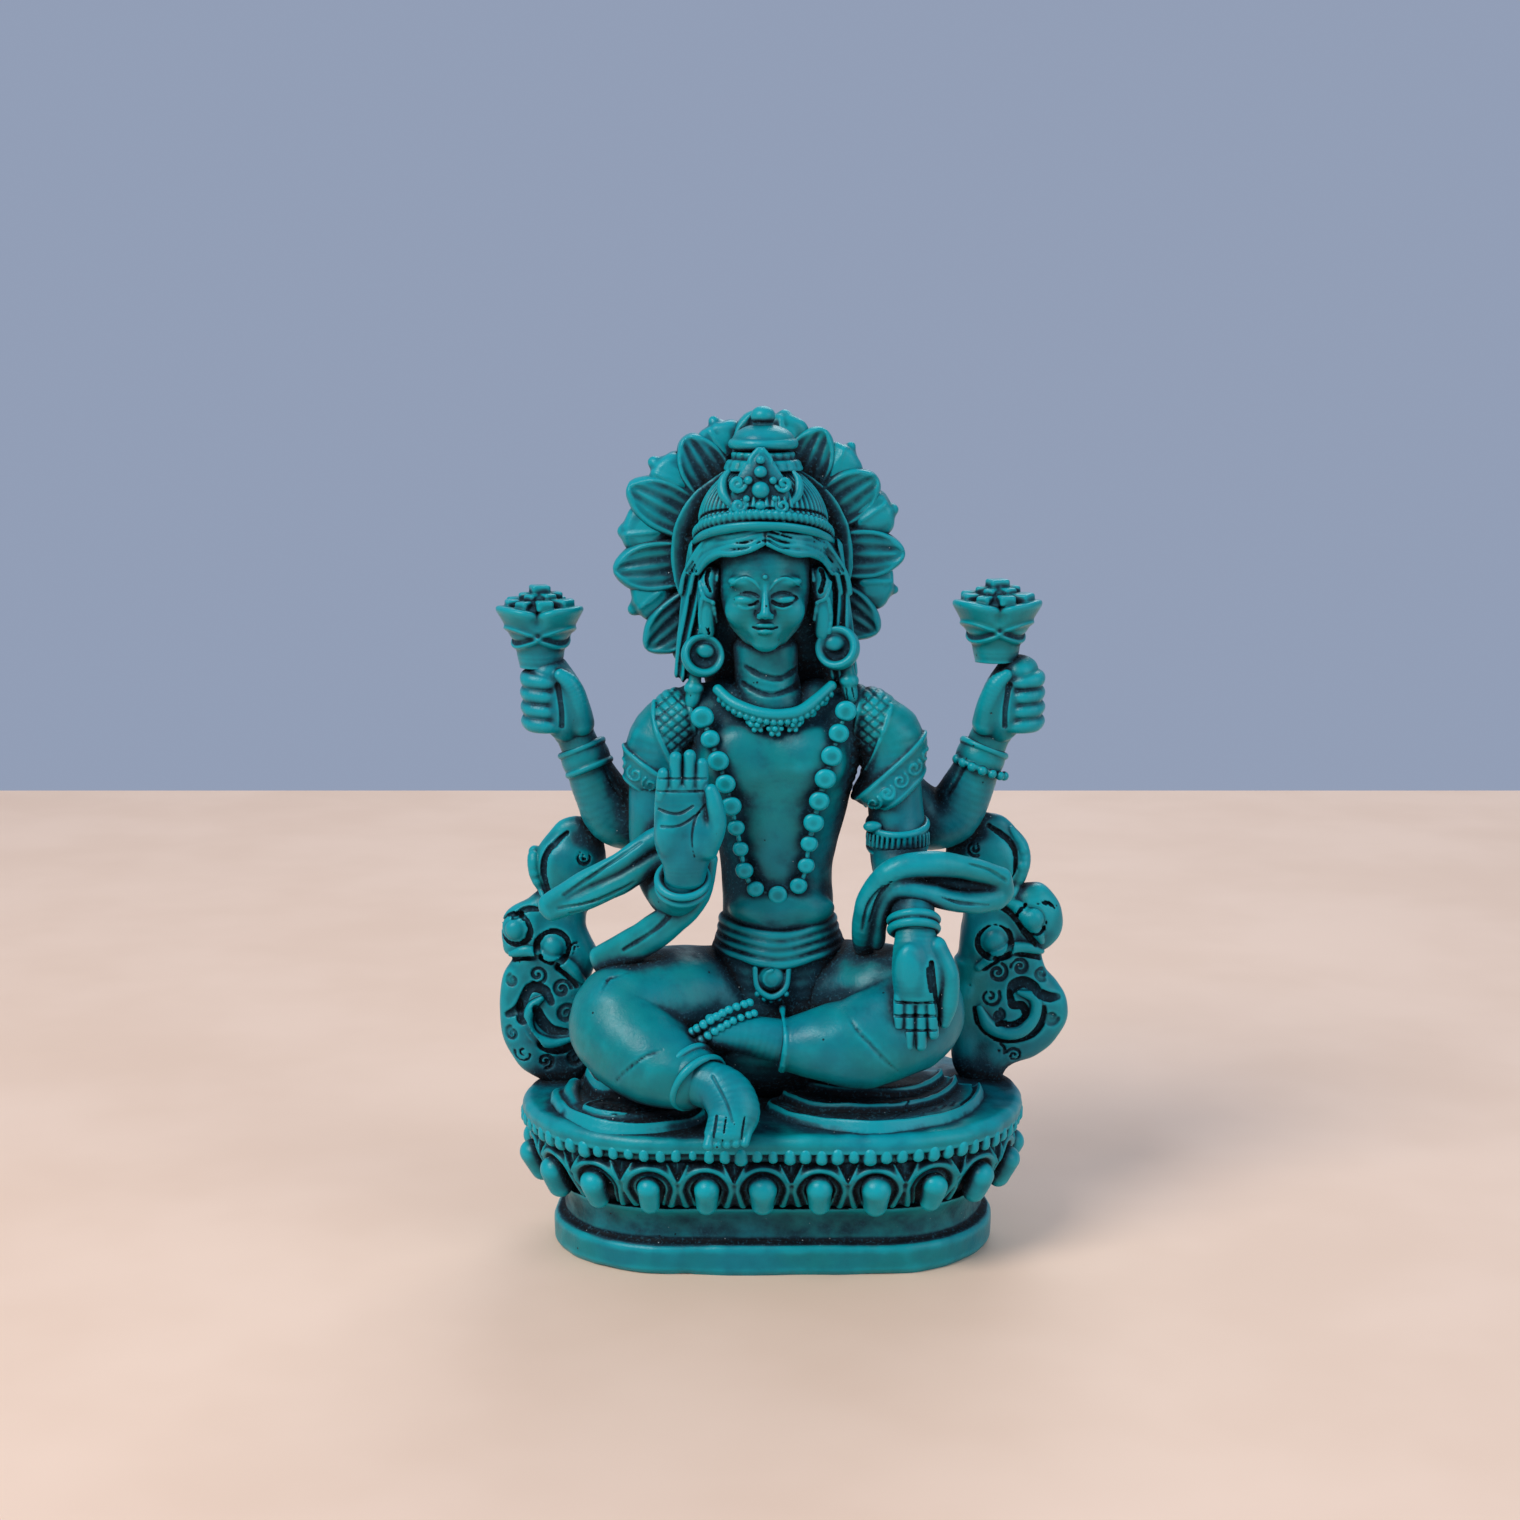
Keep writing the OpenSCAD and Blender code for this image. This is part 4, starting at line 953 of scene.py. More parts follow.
COLLAR_ROWS = [(-8.9, -7.4, 94.7, 0.85), (-6.3, -9.6, 92.8, 1), (-2.3, -11, 91.5, 1.05),
               (1.6, -11.2, 91.2, 1.05), (5, -10.4, 92, 1), (9.4, -7.4, 95.3, 0.85)]
clay = sculpt("collar_necklace", FINE)
clay.add(tube(COLLAR_ROWS))
length, place = along_curve([r[:3] for r in COLLAR_ROWS], 12)
for s in np.arange(0.7, length, 1.12):
    clay.add(ball(np.array(place(s)) + (0, -0.5, -1.15), 0.6), 0.08)

clay = sculpt("necklace_rosettes", FINE)
for x, y, z in ((-2.5, -10.4, 89.6), (0.3, -10.8, 89), (3.1, -10.4, 89.6)):
    clay.add(ball((x, y, z), (1.35, 1.1, 1.35)))
    clay.add(ball((x, y - 0.95, z), 0.55), 0.1)
    for i in range(6):
        a = i * math.pi / 3
        clay.add(ball((x + math.cos(a), y - 0.6, z + math.sin(a)), 0.5), 0.1)
for i in (-4, -3, -2, 2, 3, 4):
    clay.add(ball((0.3 + 1.95 * i, -11.2 + 0.19 * i * i, 89.1 + 0.24 * i * i), 0.85), 0.1)

GARLAND_ROWS = [(-11.4, -10.5, 90.6), (-8.7, -12.8, 83.7), (-6.8, -13.2, 76.8), (-5.5, -12, 70.7),
                (-3.9, -10.8, 63.6), (0.4, -10.4, 61.4), (4.6, -10.8, 63.6), (5.9, -12, 70.7),
                (7.4, -13.2, 77.4), (9.3, -12.8, 84.3), (11.7, -10.5, 91.6)]
GARLAND_BEADS = 19
clay = sculpt("bead_garland", FINE)
length, place = along_curve(GARLAND_ROWS, 16)
bead_sizes = np.random.default_rng(3).normal(1, 0.045, GARLAND_BEADS)
clay.add(tube([(p[0], p[1] + 0.8, p[2], 0.4) for p in GARLAND_ROWS]))
for i in range(GARLAND_BEADS):
    at = place(length * i / (GARLAND_BEADS - 1))
    r = (1.45 if 4 < i < 13 else 1.68) * bead_sizes[i]

    def bead_shape(x, y, z, at=at, r=r):
        """A short drum with round edges, its face to the front."""
        return round_box(np.hypot(x - at[0], (z - at[2]) / 0.94) - r, np.abs(y - at[1] - 0.5) - 1, 0.7)
    clay.add(solid(bead_shape, (at[0] - 2, at[1] - 1, at[2] - 2), (at[0] + 2, at[1] + 2, at[2] + 2)))

# ---------------------------------------------------------------- front arms

SLEEVE_ROWS = [(-15.4, -3, 89, 5, 5.4, 5), (-18.2, -3.2, 86, 5.6, 5.8, 5), (-19.2, -3.6, 80.4, 5, 5.4, 3.6)]


HATCH_PITCH = 1.75


def hatch(mask):
    """Fine crossed lines, where mask(x, z) allows."""
    def amount(x, y, z):
        lines = bump(fold(x * 0.8 + z, HATCH_PITCH), 0.2) + bump(fold(x * 0.8 - z, HATCH_PITCH), 0.2)
        return 0.26 * np.minimum(lines, 1) * mask(x, z) * (y < 0)
    return amount


def beside_line(points, x, z):
    """Signed distance in x and z from a line of points, positive on the side of larger |x|."""
    p = np.array(points)
    order = np.argsort(p[:, 1])
    return np.abs(x) - np.interp(z, p[order, 1], np.abs(p[order, 0]))


# the outer and inner edges of the netted cloth over each shoulder
RIGHT_STRAP = ([(-19.3, 93.2), (-19.3, 89.7), (-18.1, 86.5), (-16.2, 82)],
               [(-14, 95), (-13.3, 91), (-12.4, 86), (-12.6, 82)])
LEFT_STRAP = ([(19.1, 91.9), (17.8, 88.1), (15.5, 82.5), (12.9, 77.8)],
              [(14.5, 94.9), (13.4, 89), (12.5, 83.2), (11.9, 78.4)])


def strap_mask(lines, low):
    """1 between a strap's two edges and above its low end, and 0 elsewhere."""
    outer, inner = lines

    def mask(x, z):
        same_side = (x * outer[0][0] > 0)
        within = rise(0.2, -0.1, beside_line(outer, x, z)) * rise(-0.1, 0.2, beside_line(inner, x, z))
        return within * same_side * rise(low - 0.3, low + 0.3, z)
    return mask


for name, side, shift, n, inner_h, outer_h, lines, low in (
        ("right_sleeve", -1, 0, (-0.55, -0.83), -57.4, -52.2, RIGHT_STRAP, 82),
        ("left_sleeve", 1, 0.6, (0.66, -0.75), -49.2, -43.7, LEFT_STRAP, 77.6)):
    clay = sculpt(name, MEDIUM)
    rows = [(side * -r[0] + shift, *r[1:]) for r in SLEEVE_ROWS]
    if side == 1:
        rows[2:] = [(19.4, -3.8, 80.4, 5.2, 5.6, 3.8), (18.2, -4.2, 77.6, 5.4, 5.6, 2.8)]
    clay.add(tube(rows))

    def hem(x, y, z, n=n, a=inner_h, b=outer_h):
        """The sleeve's decorated hem: a raised band between two cords, and nothing past it."""
        h = n[0] * x + n[1] * z
        band = rise(a - 0.2, a + 0.2, h) + bump(h - a - 0.45, 0.4) + bump(h - b + 0.5, 0.4)
        return -0.35 * band + 4 * rise(b, b + 0.9, h) + 0 * y
    clay.press(hem)
    clay.press(hatch(strap_mask(lines, low)))
    along = (-n[1], n[0])
    for i in range(-3, 4):
        middle = (inner_h + outer_h) / 2
        base = (-19.2, 80.5) if side == -1 else (18.6, 78)
        k = middle - (n[0] * base[0] + n[1] * base[1])
        cx = base[0] + n[0] * k + along[0] * 2.9 * i
        cz = base[1] + n[1] * k + along[1] * 2.9 * i
        clay.trace(spiral(cx, cz, 1.35, 0.3, 120 if side < 0 else 60, 1.25, -side), 0.28, 0.26, raised=True)
    for outline in lines:
        clay.trace(outline, 0.3, 0.3, raised=True)

pieces["torso"].press(hatch(strap_mask(RIGHT_STRAP, 82))).press(hatch(strap_mask(LEFT_STRAP, 77.6)))

clay = sculpt("right_arm")
clay.add(tube([(-19.4, -3.8, 79, 4.4), (-19.4, -4.4, 70, 4.4), (-18, -6, 63.6, 4.3), (-15.8, -12.4, 62, 4),
               (-14.4, -18.6, 65, 3.4)]))
clay = sculpt("left_arm")
clay.add(tube([(19.8, -3.8, 79, 4.6), (20.4, -4.6, 71.5, 4.6), (20.8, -6.6, 65.6, 4.4), (22, -12, 62, 3.9),
               (22.8, -17, 57.6, 3.3)]))

clay = sculpt("raised_hand", FINE)
clay.add(tube([(-14, -20.4, 66.6, 3.3, 2.2, 2.4), (-13.9, -21.2, 69.4, 3.8, 2.3, 2.6),
               (-13.9, -21.4, 72.5, 4.9, 2.3, 3.2), (-14.1, -21.6, 77, 4.8, 2, 3.2),
               (-14.3, -21.7, 80.4, 4.3, 1.6, 2)]))
for bx, tx, tip in ((-17.4, -17.2, 83.6), (-15.4, -15.3, 86.1), (-13.3, -13.1, 86.4), (-11.4, -11.2, 85.1)):
    finger = [(bx, -21.8, 79.6, 1.12), (0.5 * (bx + tx), -22.1, 82, 1.12), (tx, -22.2, tip, 0.95)]
    clay.add(tube(finger), 0.12)
    for level in (82.9, 80.9):
        clay.trace([(bx - 0.9, level), (bx + 0.9, level)], 0.16, 0.24)
clay.add(tube([(-10.6, -21.8, 71.5, 1.9), (-9, -22.5, 75.5, 1.6), (-9.3, -22.8, 79.2, 1.35),
               (-9.8, -22.8, 81, 1.1)]), 0.3)
clay.add(ball((-16.6, -22.6, 74), (1.8, 1.3, 3.2)), 1).add(ball((-11.6, -22.8, 73.4), (1.9, 1.3, 3)), 1)
for points in ([(-10.6, 78.8), (-12.2, 76.8), (-12.8, 73.6), (-12.4, 70.6)],
               [(-18, 78), (-15, 77.4), (-12.6, 78.6)], [(-17.6, 75.4), (-14.6, 75.6), (-11.6, 77.6)]):
    clay.trace(points, 0.16, 0.24)

clay = sculpt("lowered_hand", FINE)
clay.add(tube([(22.7, -17.8, 57.6, 3, 2.4, 2.2), (23, -19.6, 54.6, 3.9, 2.4, 2.8),
               (23.2, -20.8, 51, 4.3, 2.1, 3), (22.9, -21.2, 47.6, 3.6, 1.7, 2)]))
clay.add(ball((21.6, -21.8, 51.8), (2.2, 1.4, 4)), 1)
for bx, tx, tip in ((20.2, 19.9, 41), (21.8, 21.6, 39.4), (23.5, 23.6, 39.3), (25.1, 25.6, 41.2)):
    clay.add(tube([(bx, -21.3, 47.4, 1), (0.5 * (bx + tx), -21.7, 44.2, 1), (tx, -21.6, tip, 0.86)]), 0.06)
    for level in (46.6, 44.4, 42):
        clay.trace([(bx - 0.9, level), (bx + 0.9, level)], 0.2, 0.34)
clay.add(tube([(26, -19.8, 55, 1.9), (27.9, -20.4, 50.6, 1.8), (28, -20.6, 46, 1.5),
               (27.4, -20.4, 42.8, 1)]), 0.25)
for points in ([(25, 53), (25.4, 50), (25.9, 46), (26.4, 42.6)], [(24.6, 52), (25, 48.6)]):
    clay.trace(points, 0.42, 0.8)

for name, at, tilt, big in (("right_bracelet", (-14.4, -18.9, 65.4), 36, 3.7),
                            ("left_bracelet", (22.6, -16.8, 58), -32, 3.5)):
    clay = sculpt(name, FINE, 3)
    axis = leaning(tilt)
    for shift in (-0.75, 0.75):
        clay.add(ring(np.array(at) + axis * shift, axis, big + 0.1, 0.82, 0.9), 0.12)

clay = sculpt("left_armlet", FINE)
armlet_axis = leaning(14)
armlet_at = np.array((20.4, -4.9, 70))
clay.add(ring(armlet_at + armlet_axis * 2.4, armlet_axis, 4.7, 0.62))
clay.add(ring(armlet_at - armlet_axis * 1.6, armlet_axis, 4.6, 0.5))
clay.add(ring(armlet_at, armlet_axis, 4.55, 0.62, 1.9))
for i in range(15):
    c, s = cos_sin(-160 + 10 * i)
    foot = armlet_at + np.array((5.15 * c, 5.15 * s, 0))
    clay.add(cone(foot - armlet_axis * 0.9, foot + armlet_axis * 0.9, 0.34, 0.34), 0.05)
clay.add(ball((16.2, -8.6, 72.4), (1.6, 1, 1)), 0.2)

# ---------------------------------------------------------------- rear arms, fists and flowers

REAR_ARM_ROWS = [(-17.5, 4, 75, 5.2), (-22.4, 5, 71.2, 5.2), (-26.6, 4.8, 72, 5), (-29.4, 3.8, 77, 4.3),
                 (-31.4, 2.8, 82, 3.5), (-32.8, 2, 85.6, 3.2)]
LEFT_SHIFT = 3.4                # the left rear arm stands a little farther out


def to_side(side, rows):
    """Rows of the right side's shape as they are, or mirrored to the left side."""
    return rows if side < 0 else [(LEFT_SHIFT - r[0], *r[1:]) for r in rows]


for side, word, centre, top in ((-1, "right", -38.2, 98.9), (1, "left", 36.8, 99.8)):
    clay = sculpt(f"rear_{word}_arm")
    clay.add(tube(to_side(side, REAR_ARM_ROWS)))
    clay.trace(to_side(side, [(-29.6, 84), (-27.4, 79), (-25.6, 76)]), 0.3, 0.35)

    clay = sculpt(f"rear_{word}_fist", FINE, 2)
    clay.add(tube(to_side(side, [(-33, 2, 86, 3.4, 3, 2.6), (-34.4, 1.4, 89.6, 4, 3.2, 3),
                                 (-35.6, 1.2, 93.4, 4.2, 3.2, 3), (-37, 1, 97, 3.4, 2.8, 2.4)])))
    clay.add(ball(to_side(side, [(-34.6, -0.8, 91.2)])[0], (3.6, 2.7, 6)), 1)
    clay.add(ball(to_side(side, [(-37, 0, 96.4)])[0], (3.1, 3.1, 2.6)), 0.6)
    for i in range(4):
        z = 87.8 + 2.4 * i
        rows = [(-35.8 - 0.1 * i, -2, z, 1.2), (-37.4 - 0.1 * i, -2.4, z + 0.2, 1.35),
                (-39.3 - 0.1 * i, -1.5, z + 0.4, 1.5), (-40.1, 0.4, z + 0.6, 1.5)]
        clay.add(tube(to_side(side, rows)), 0.35)
    clay.add(tube(to_side(side, [(-31.6, -0.6, 88.2, 2.2), (-32.2, -1.6, 91.6, 2), (-33.2, -2.4, 94.8, 1.6),
                                 (-34.8, -2.6, 96.4, 1.1)])), 0.5)
    clay.trace(to_side(side, [(-35.2, 94.8), (-34.6, 91), (-34.6, 88)]), 0.45, 0.4)

    clay = sculpt(f"rear_{word}_bracelet", FINE)
    lean = math.radians(22) * -side
    axis = np.array((math.sin(-lean), 0.13, math.cos(lean)))
    at = np.array(to_side(side, [(-31.2, 2.9, 81.8)])[0])
    clay.add(ring(at, axis, 3.25, 0.9, 2.4))
    for shift, wide in ((-1.7, 0.6), (1.7, 0.65)):
        clay.add(ring(at + axis * shift, axis, 3.7, wide), 0.12)
    if side > 0:
        for i in range(-3, 4):
            c, s = cos_sin(-90 + 24 * i)
            clay.add(ball(at + (4.1 * c, 4.1 * s, -1.5 - 1.5 * c), 0.9), 0.1)

    def cup_shape(x, y, z, cx=centre, base=top, side=side):
        """A thick stem that flares into three broad thick petals over a lower ring of petals."""
        dx, dy = x - cx, y - 1
        r, angle = np.hypot(dx, dy), np.arctan2(dx, -dy)
        lobe = np.abs(np.cos(1.5 * angle - math.pi / 2))
        up = z - base
        high = np.maximum(up, 0)
        flare = 3.4 + 0.39 * high + 0.012 * high ** 2 + 0.3 * bump(up, 0.9)
        flare = flare + 0.5 * bump(up - 1.9 - 1.3 * (1 - lobe), 0.42)
        flare = flare + 0.45 * bump(up - 3.6 - 1.5 * lobe, 0.42)
        flare -= 0.3 * bump(up - 2.8 - 1.3 * (1 - lobe), 0.4) + 0.9 * bump(lobe, 0.28) * rise(4.6, 7, up)
        rim = np.hypot(np.maximum(r - flare + 1, 0), np.maximum(up - 6.4 - 1.3 * np.sqrt(lobe), 0)) - 1
        return np.maximum(np.maximum((r - flare) * 0.8, rim * 0.9), -1.6 - up)

    clay = sculpt(f"{word}_lotus", FINE, 3)
    clay.add(solid(cup_shape, (centre - 8.5, -7.5, top - 2), (centre + 8.5, 9.5, top + 10)))
    clay.cut(ball((centre, 1, top + 8.8), (5.4, 5.4, 1.6)), 0.4)
    clay.add(tube([(centre, 1, top + 8.2, 4.9, 4.9, 1), (centre, 1, top + 9.6, 2.8, 2.8, 1)], 2), 0.3)
    for ring_r, count, z, r in ((4.5, 8, 8.9, 1.35), (2.3, 5, 10, 1.2), (0, 1, 11, 1.6)):
        for i in range(count):
            a = 2 * math.pi * (i + 0.3) / count
            lump = r * (1 + 0.16 * math.sin(5 * i + ring_r))
            clay.add(round_block((centre + ring_r * math.cos(a), 1 + ring_r * math.sin(a), top + z),
                                 (lump, lump, lump * 0.6), a), 0.25)
    clay.add(ring((centre, 1, top + 2.4), (0, 0, 1), 3, 0.5), 0.5)

# ---------------------------------------------------------------- halo

def halo_angle(k):
    """Where petal k points, in degrees: they crowd a little to one side."""
    a = 90 + k * 360 / HALO_PETALS
    return a + 3 + 5.5 * math.cos(math.radians(a - 5))


def halo_frame(angle, x, z):
    """Along and across a petal that points at an angle from the halo's middle."""
    c, s = cos_sin(angle)
    dx, dz = x - HALO_X, z - HALO_Z
    return dx * c + dz * s, dz * c - dx * s


def halo_box(angle, r0, r1, wide, y0, y1):
    c, s = cos_sin(angle)
    ends = [(HALO_X + r * c - t * s, HALO_Z + r * s + t * c) for r in (r0, r1) for t in (-wide, wide)]
    xs, zs = [e[0] for e in ends], [e[1] for e in ends]
    return (min(xs), y0, min(zs)), (max(xs), y1, max(zs))


def disc_shape(x, y, z):
    return round_box(np.hypot(x - HALO_X, z - HALO_Z) - 17.6, np.abs(y - HALO_Y) - 1.5, 0.6)


clay = sculpt("halo_disc")
clay.add(solid(disc_shape, (-20, 5, 97), (17, 9, 134)))
for turn in range(0, 360, 30):
    a, b = cos_sin(turn)
    spoke = [(HALO_X + r * a, HALO_Z + r * b) for r in (3, 14.5)]
    clay.trace(spoke, 0.5, 0.4, side="back")


def hood_shape(x, y, z):
    """The smooth hood behind the head: a flattened ring, highest at its outer edge."""
    r = np.hypot((x - HALO_X - 0.2) / 1.0, (z - HALO_Z + 0.3) / 1.02)
    face = HALO_Y - 2.6 - 0.9 * rise(10.4, 14, r)
    return np.maximum(np.maximum(r - 14.6, 10.2 - r), np.maximum(face - y, y - HALO_Y)) - 0.5


clay = sculpt("halo_rim")
clay.add(solid(hood_shape, (-18.5, 2, 99), (14.5, 8, 132)))

halo_luck = np.random.default_rng(8).normal(0, 1, (2, HALO_PETALS, 3))
clay = sculpt("halo_ribbed_petals")
for k in range(HALO_PETALS):
    luck = halo_luck[0, k]

    def petal_shape(x, y, z, angle=halo_angle(k) + 0.6 * luck[0], reach=24 + 0.45 * luck[1], luck=luck):
        s, t = halo_frame(angle, x, z)
        q = np.clip((s - 11) / (reach - 11), 0, 1)
        half = (3.9 + 1.3 * q) * (1 - np.maximum((q - 0.3) / 0.7, 0) ** 2.6 * 0.8)
        edge = (np.abs(t) - half) * 0.8
        share = t / np.maximum(half, 0.4)
        face = 1.2 + 0.45 * bump(np.abs(t) - half + 0.8, 0.6) + 0.3 * luck[2] * share
        face += 0.17 * np.cos(2 * math.pi * 2.1 * share) * rise(0.9, 0.6, np.abs(share)) * rise(0.97, 0.8, q)
        face += 0.9 * (1 - q) + 0.7 * bump(q - 0.6, 0.4) - 0.4
        front = HALO_Y - 1.5 - face - y
        back = y - HALO_Y - 0.6
        end = np.maximum(10.5 - s, s - reach)
        return np.maximum(round_box(smooth_max(edge, end, 0.8), front * 0.9, 0.7), back)
    clay.add(solid(petal_shape, *halo_box(halo_angle(k), 10, 25, 5.6, 2, 9)), 0.05)

clay = sculpt("halo_round_petals")
for k in range(HALO_PETALS):
    angle = halo_angle(k + 0.5)
    luck = halo_luck[1, k]
    c, s = cos_sin(angle)

    def pillow(x, y, z, angle=angle + 0.8 * luck[0], reach=20.1 + 0.25 * luck[1]):
        """A bud seen from its side: a blunt block with a soft ridge and a hooked corner."""
        s, t = halo_frame(angle, x, z)
        half = 3.5 + 0.5 * rise(14, 19, s) - 0.9 * rise(20.4, 23.4, s)
        front = y - HALO_Y + 3.4 - 1.2 * rise(17, 13, s) - 0.07 * t * t - 0.05 * (s - 19) ** 2
        front = front + 0.35 * bump(t - 0.3 * (s - 18), 0.4) * rise(16, 18, s)
        flat = np.maximum(-front, y - HALO_Y - 2.6)
        block = smooth_max(np.abs(t) - half, s - reach - 2.8 + 0.22 * np.abs(t), 1.2)
        return np.maximum(round_box(block, flat, 1.0), 12 - s)
    clay.add(solid(pillow, *halo_box(angle, 11, 25, 5, 2.5, 11)), 0.05)
    tip = (HALO_X + 23 * c - 0.6 * s, HALO_Y - 0.6, HALO_Z + 23 * s + 0.6 * c)
    clay.add(cone((HALO_X + 20.5 * c, HALO_Y, HALO_Z + 20.5 * s), tip, 1.7, 0.9), 1)
    spoke = [(HALO_X + r * c, HALO_Z + r * s) for r in (15.5, 22)]
    clay.trace(spoke, 0.4, 0.3, side="back")

# ---------------------------------------------------------------- scroll plates

SCROLLS = {"right_scroll": dict(
    plans=[[(-40.1, 57.8), (-42.4, 55.8), (-44.1, 54), (-45.6, 51.7), (-45.9, 49.6), (-45.6, 47.6),
            (-44.4, 46.3), (-45.9, 43.7), (-46.6, 40.1), (-46.8, 36.8), (-46.3, 33.7), (-45.3, 30.6),
            (-43.6, 27.7), (-41.6, 25.9), (-38.4, 24.4), (-34, 24), (-31, 28), (-30, 33.2), (-31, 38.3),
            (-31.6, 42), (-30.2, 46.3), (-30.2, 47.6), (-31.3, 50.2), (-32, 52.5), (-32, 56), (-33.9, 60),
            (-37, 60)],
           [(-35.4, 70.6), (-38, 68.2), (-40.1, 64.9), (-40.5, 61.7), (-39.6, 57.6), (-36, 54), (-31, 55),
            (-28.6, 60), (-28.6, 66), (-31.4, 70.6)]],
    swells=[(-38.4, 35.6, 8.2), (-42, 52, 4), (-37, 49.6, 4.6), (-34.6, 62.4, 5.6)],
    eyes=[(-43.4, 52, 1.7), (-37.2, 49, 1.9)],
    grooves=[[(-34.6, 68.4), (-37.8, 65.3), (-38.6, 62.1), (-37.9, 58.4)],
             [(-45.2, 37), (-43.1, 38.3), (-41.3, 41.6), (-38.8, 41.4), (-37.6, 39.4)],
             [(-43.1, 39.4), (-42.7, 36.3), (-41, 33.2), (-38.2, 31.1), (-35.2, 31.2), (-33.4, 32.4)],
             [(-40.1, 38.5), (-39.4, 36.3), (-37.7, 34.6), (-35.2, 34.2)],
             [(-44.6, 46.4), (-41.6, 47.2), (-38.5, 46.4), (-35.6, 44.9), (-33.3, 42)],
             [(-39.6, 55.4), (-42, 55.2), (-44, 53.6)]],
    ridges=[[(-38.6, 40.4), (-40.7, 38.8), (-41.5, 36.3), (-40.6, 33.7), (-37.5, 32.4), (-34.2, 33)],
            [(-44.4, 47.6), (-41.5, 48.4), (-38.2, 47.2), (-34.8, 45.9), (-32.4, 43)],
            [(-38.4, 69.4), (-40.2, 65.4), (-40.2, 61.4), (-38.8, 57.6)]],
    curls=[(-39.9, 44.1, 1.5), (-35.8, 41.6, 1.4), (-35, 37.3, 1.4), (-42.4, 30.3, 1.4), (-38.8, 28.9, 1.2),
           (-44.4, 33.7, 1), (-33.6, 29.2, 1.2), (-44.3, 43, 0.9), (-33.6, 58.4, 1.1), (-31.6, 64.4, 1.1),
           (-33.4, 48.6, 0.9)]), "left_scroll": dict(
    plans=[[(41.7, 58.8), (43.2, 59.2), (45.4, 59.3), (47.2, 57.8), (48.4, 55.8), (49.1, 53.2), (48.8, 50.7),
            (47.3, 48.6), (45.9, 47.3), (46.9, 44.5), (48.5, 41.9), (49.8, 40.4), (50.5, 38.3), (50.6, 36.3),
            (49.6, 34.2), (47.7, 32.1), (45.2, 30.3), (42.7, 29), (40, 27), (38.4, 24.4), (34, 24),
            (31.4, 28), (31.1, 33.2), (31, 39.6), (31.5, 44), (31, 46.1), (31.7, 47.3), (31.9, 49.6),
            (32.4, 52.5), (33.1, 55.4), (35.8, 59), (38.7, 59.6)],
           [(36.4, 71.6), (39.6, 70.6), (42, 67.6), (42.6, 63.8), (41.4, 59), (38, 55.6), (32.6, 56),
            (29.6, 60), (29.8, 67), (32.4, 71.4)]],
    swells=[(41.4, 37, 8.8), (44.4, 53.8, 4.6), (37.6, 50.2, 5), (36.6, 63.2, 5.8)],
    eyes=[(43.9, 54.1, 1.7), (37.6, 50, 2)],
    grooves=[[(36.4, 69.6), (40, 66.8), (40.8, 63.2), (39.6, 59.4)],
             [(40.2, 40.6), (41, 42.2), (42.6, 42.8), (44.2, 42.2), (45.2, 41), (47, 40.1), (48.8, 40.1)],
             [(40.3, 40.9), (40.8, 39), (42.4, 38.8), (43, 37), (41.1, 35.6), (38.1, 35.7)],
             [(34.4, 38.3), (35.3, 35.5), (37.4, 33.4), (40.6, 32.9), (44.1, 33.9), (45.8, 36.3),
              (46.1, 38.3)],
             [(35, 44.3), (38.4, 47), (42.4, 47.9), (45.4, 46.8)],
             [(37.5, 56.4), (40.8, 54.4), (43.2, 51.2), (44.4, 49.4)],
             [(43.4, 56.4), (46.2, 56.5), (47.7, 55.5)]],
    ridges=[[(41.8, 41.2), (44.4, 40.3), (44.8, 38.3), (44.1, 36.2), (42.1, 34.4), (39.4, 34.2),
             (36.8, 35.6), (35.3, 38.3)],
            [(35, 45.5), (38.4, 48.2), (42.4, 49), (45.8, 48)],
            [(38.3, 57.6), (41.8, 55.6), (44.4, 52.4), (45.6, 49.9)],
            [(40.3, 69), (42.3, 65.4), (42, 61.4), (40.4, 57.6)]],
    curls=[(38.2, 44.5, 1.5), (42, 45.4, 1.4), (37, 40.3, 1.5), (38.4, 37.2, 0.9), (33.9, 31.7, 1.3),
           (38.2, 30.6, 1.4), (41.2, 29.9, 1.2), (33.4, 41.4, 1.1), (45.8, 44.2, 1), (47.6, 36.4, 1),
           (35.4, 61.6, 1.1), (34, 66, 1.1)])}
SCROLL_Y = (4.5, 9.5)
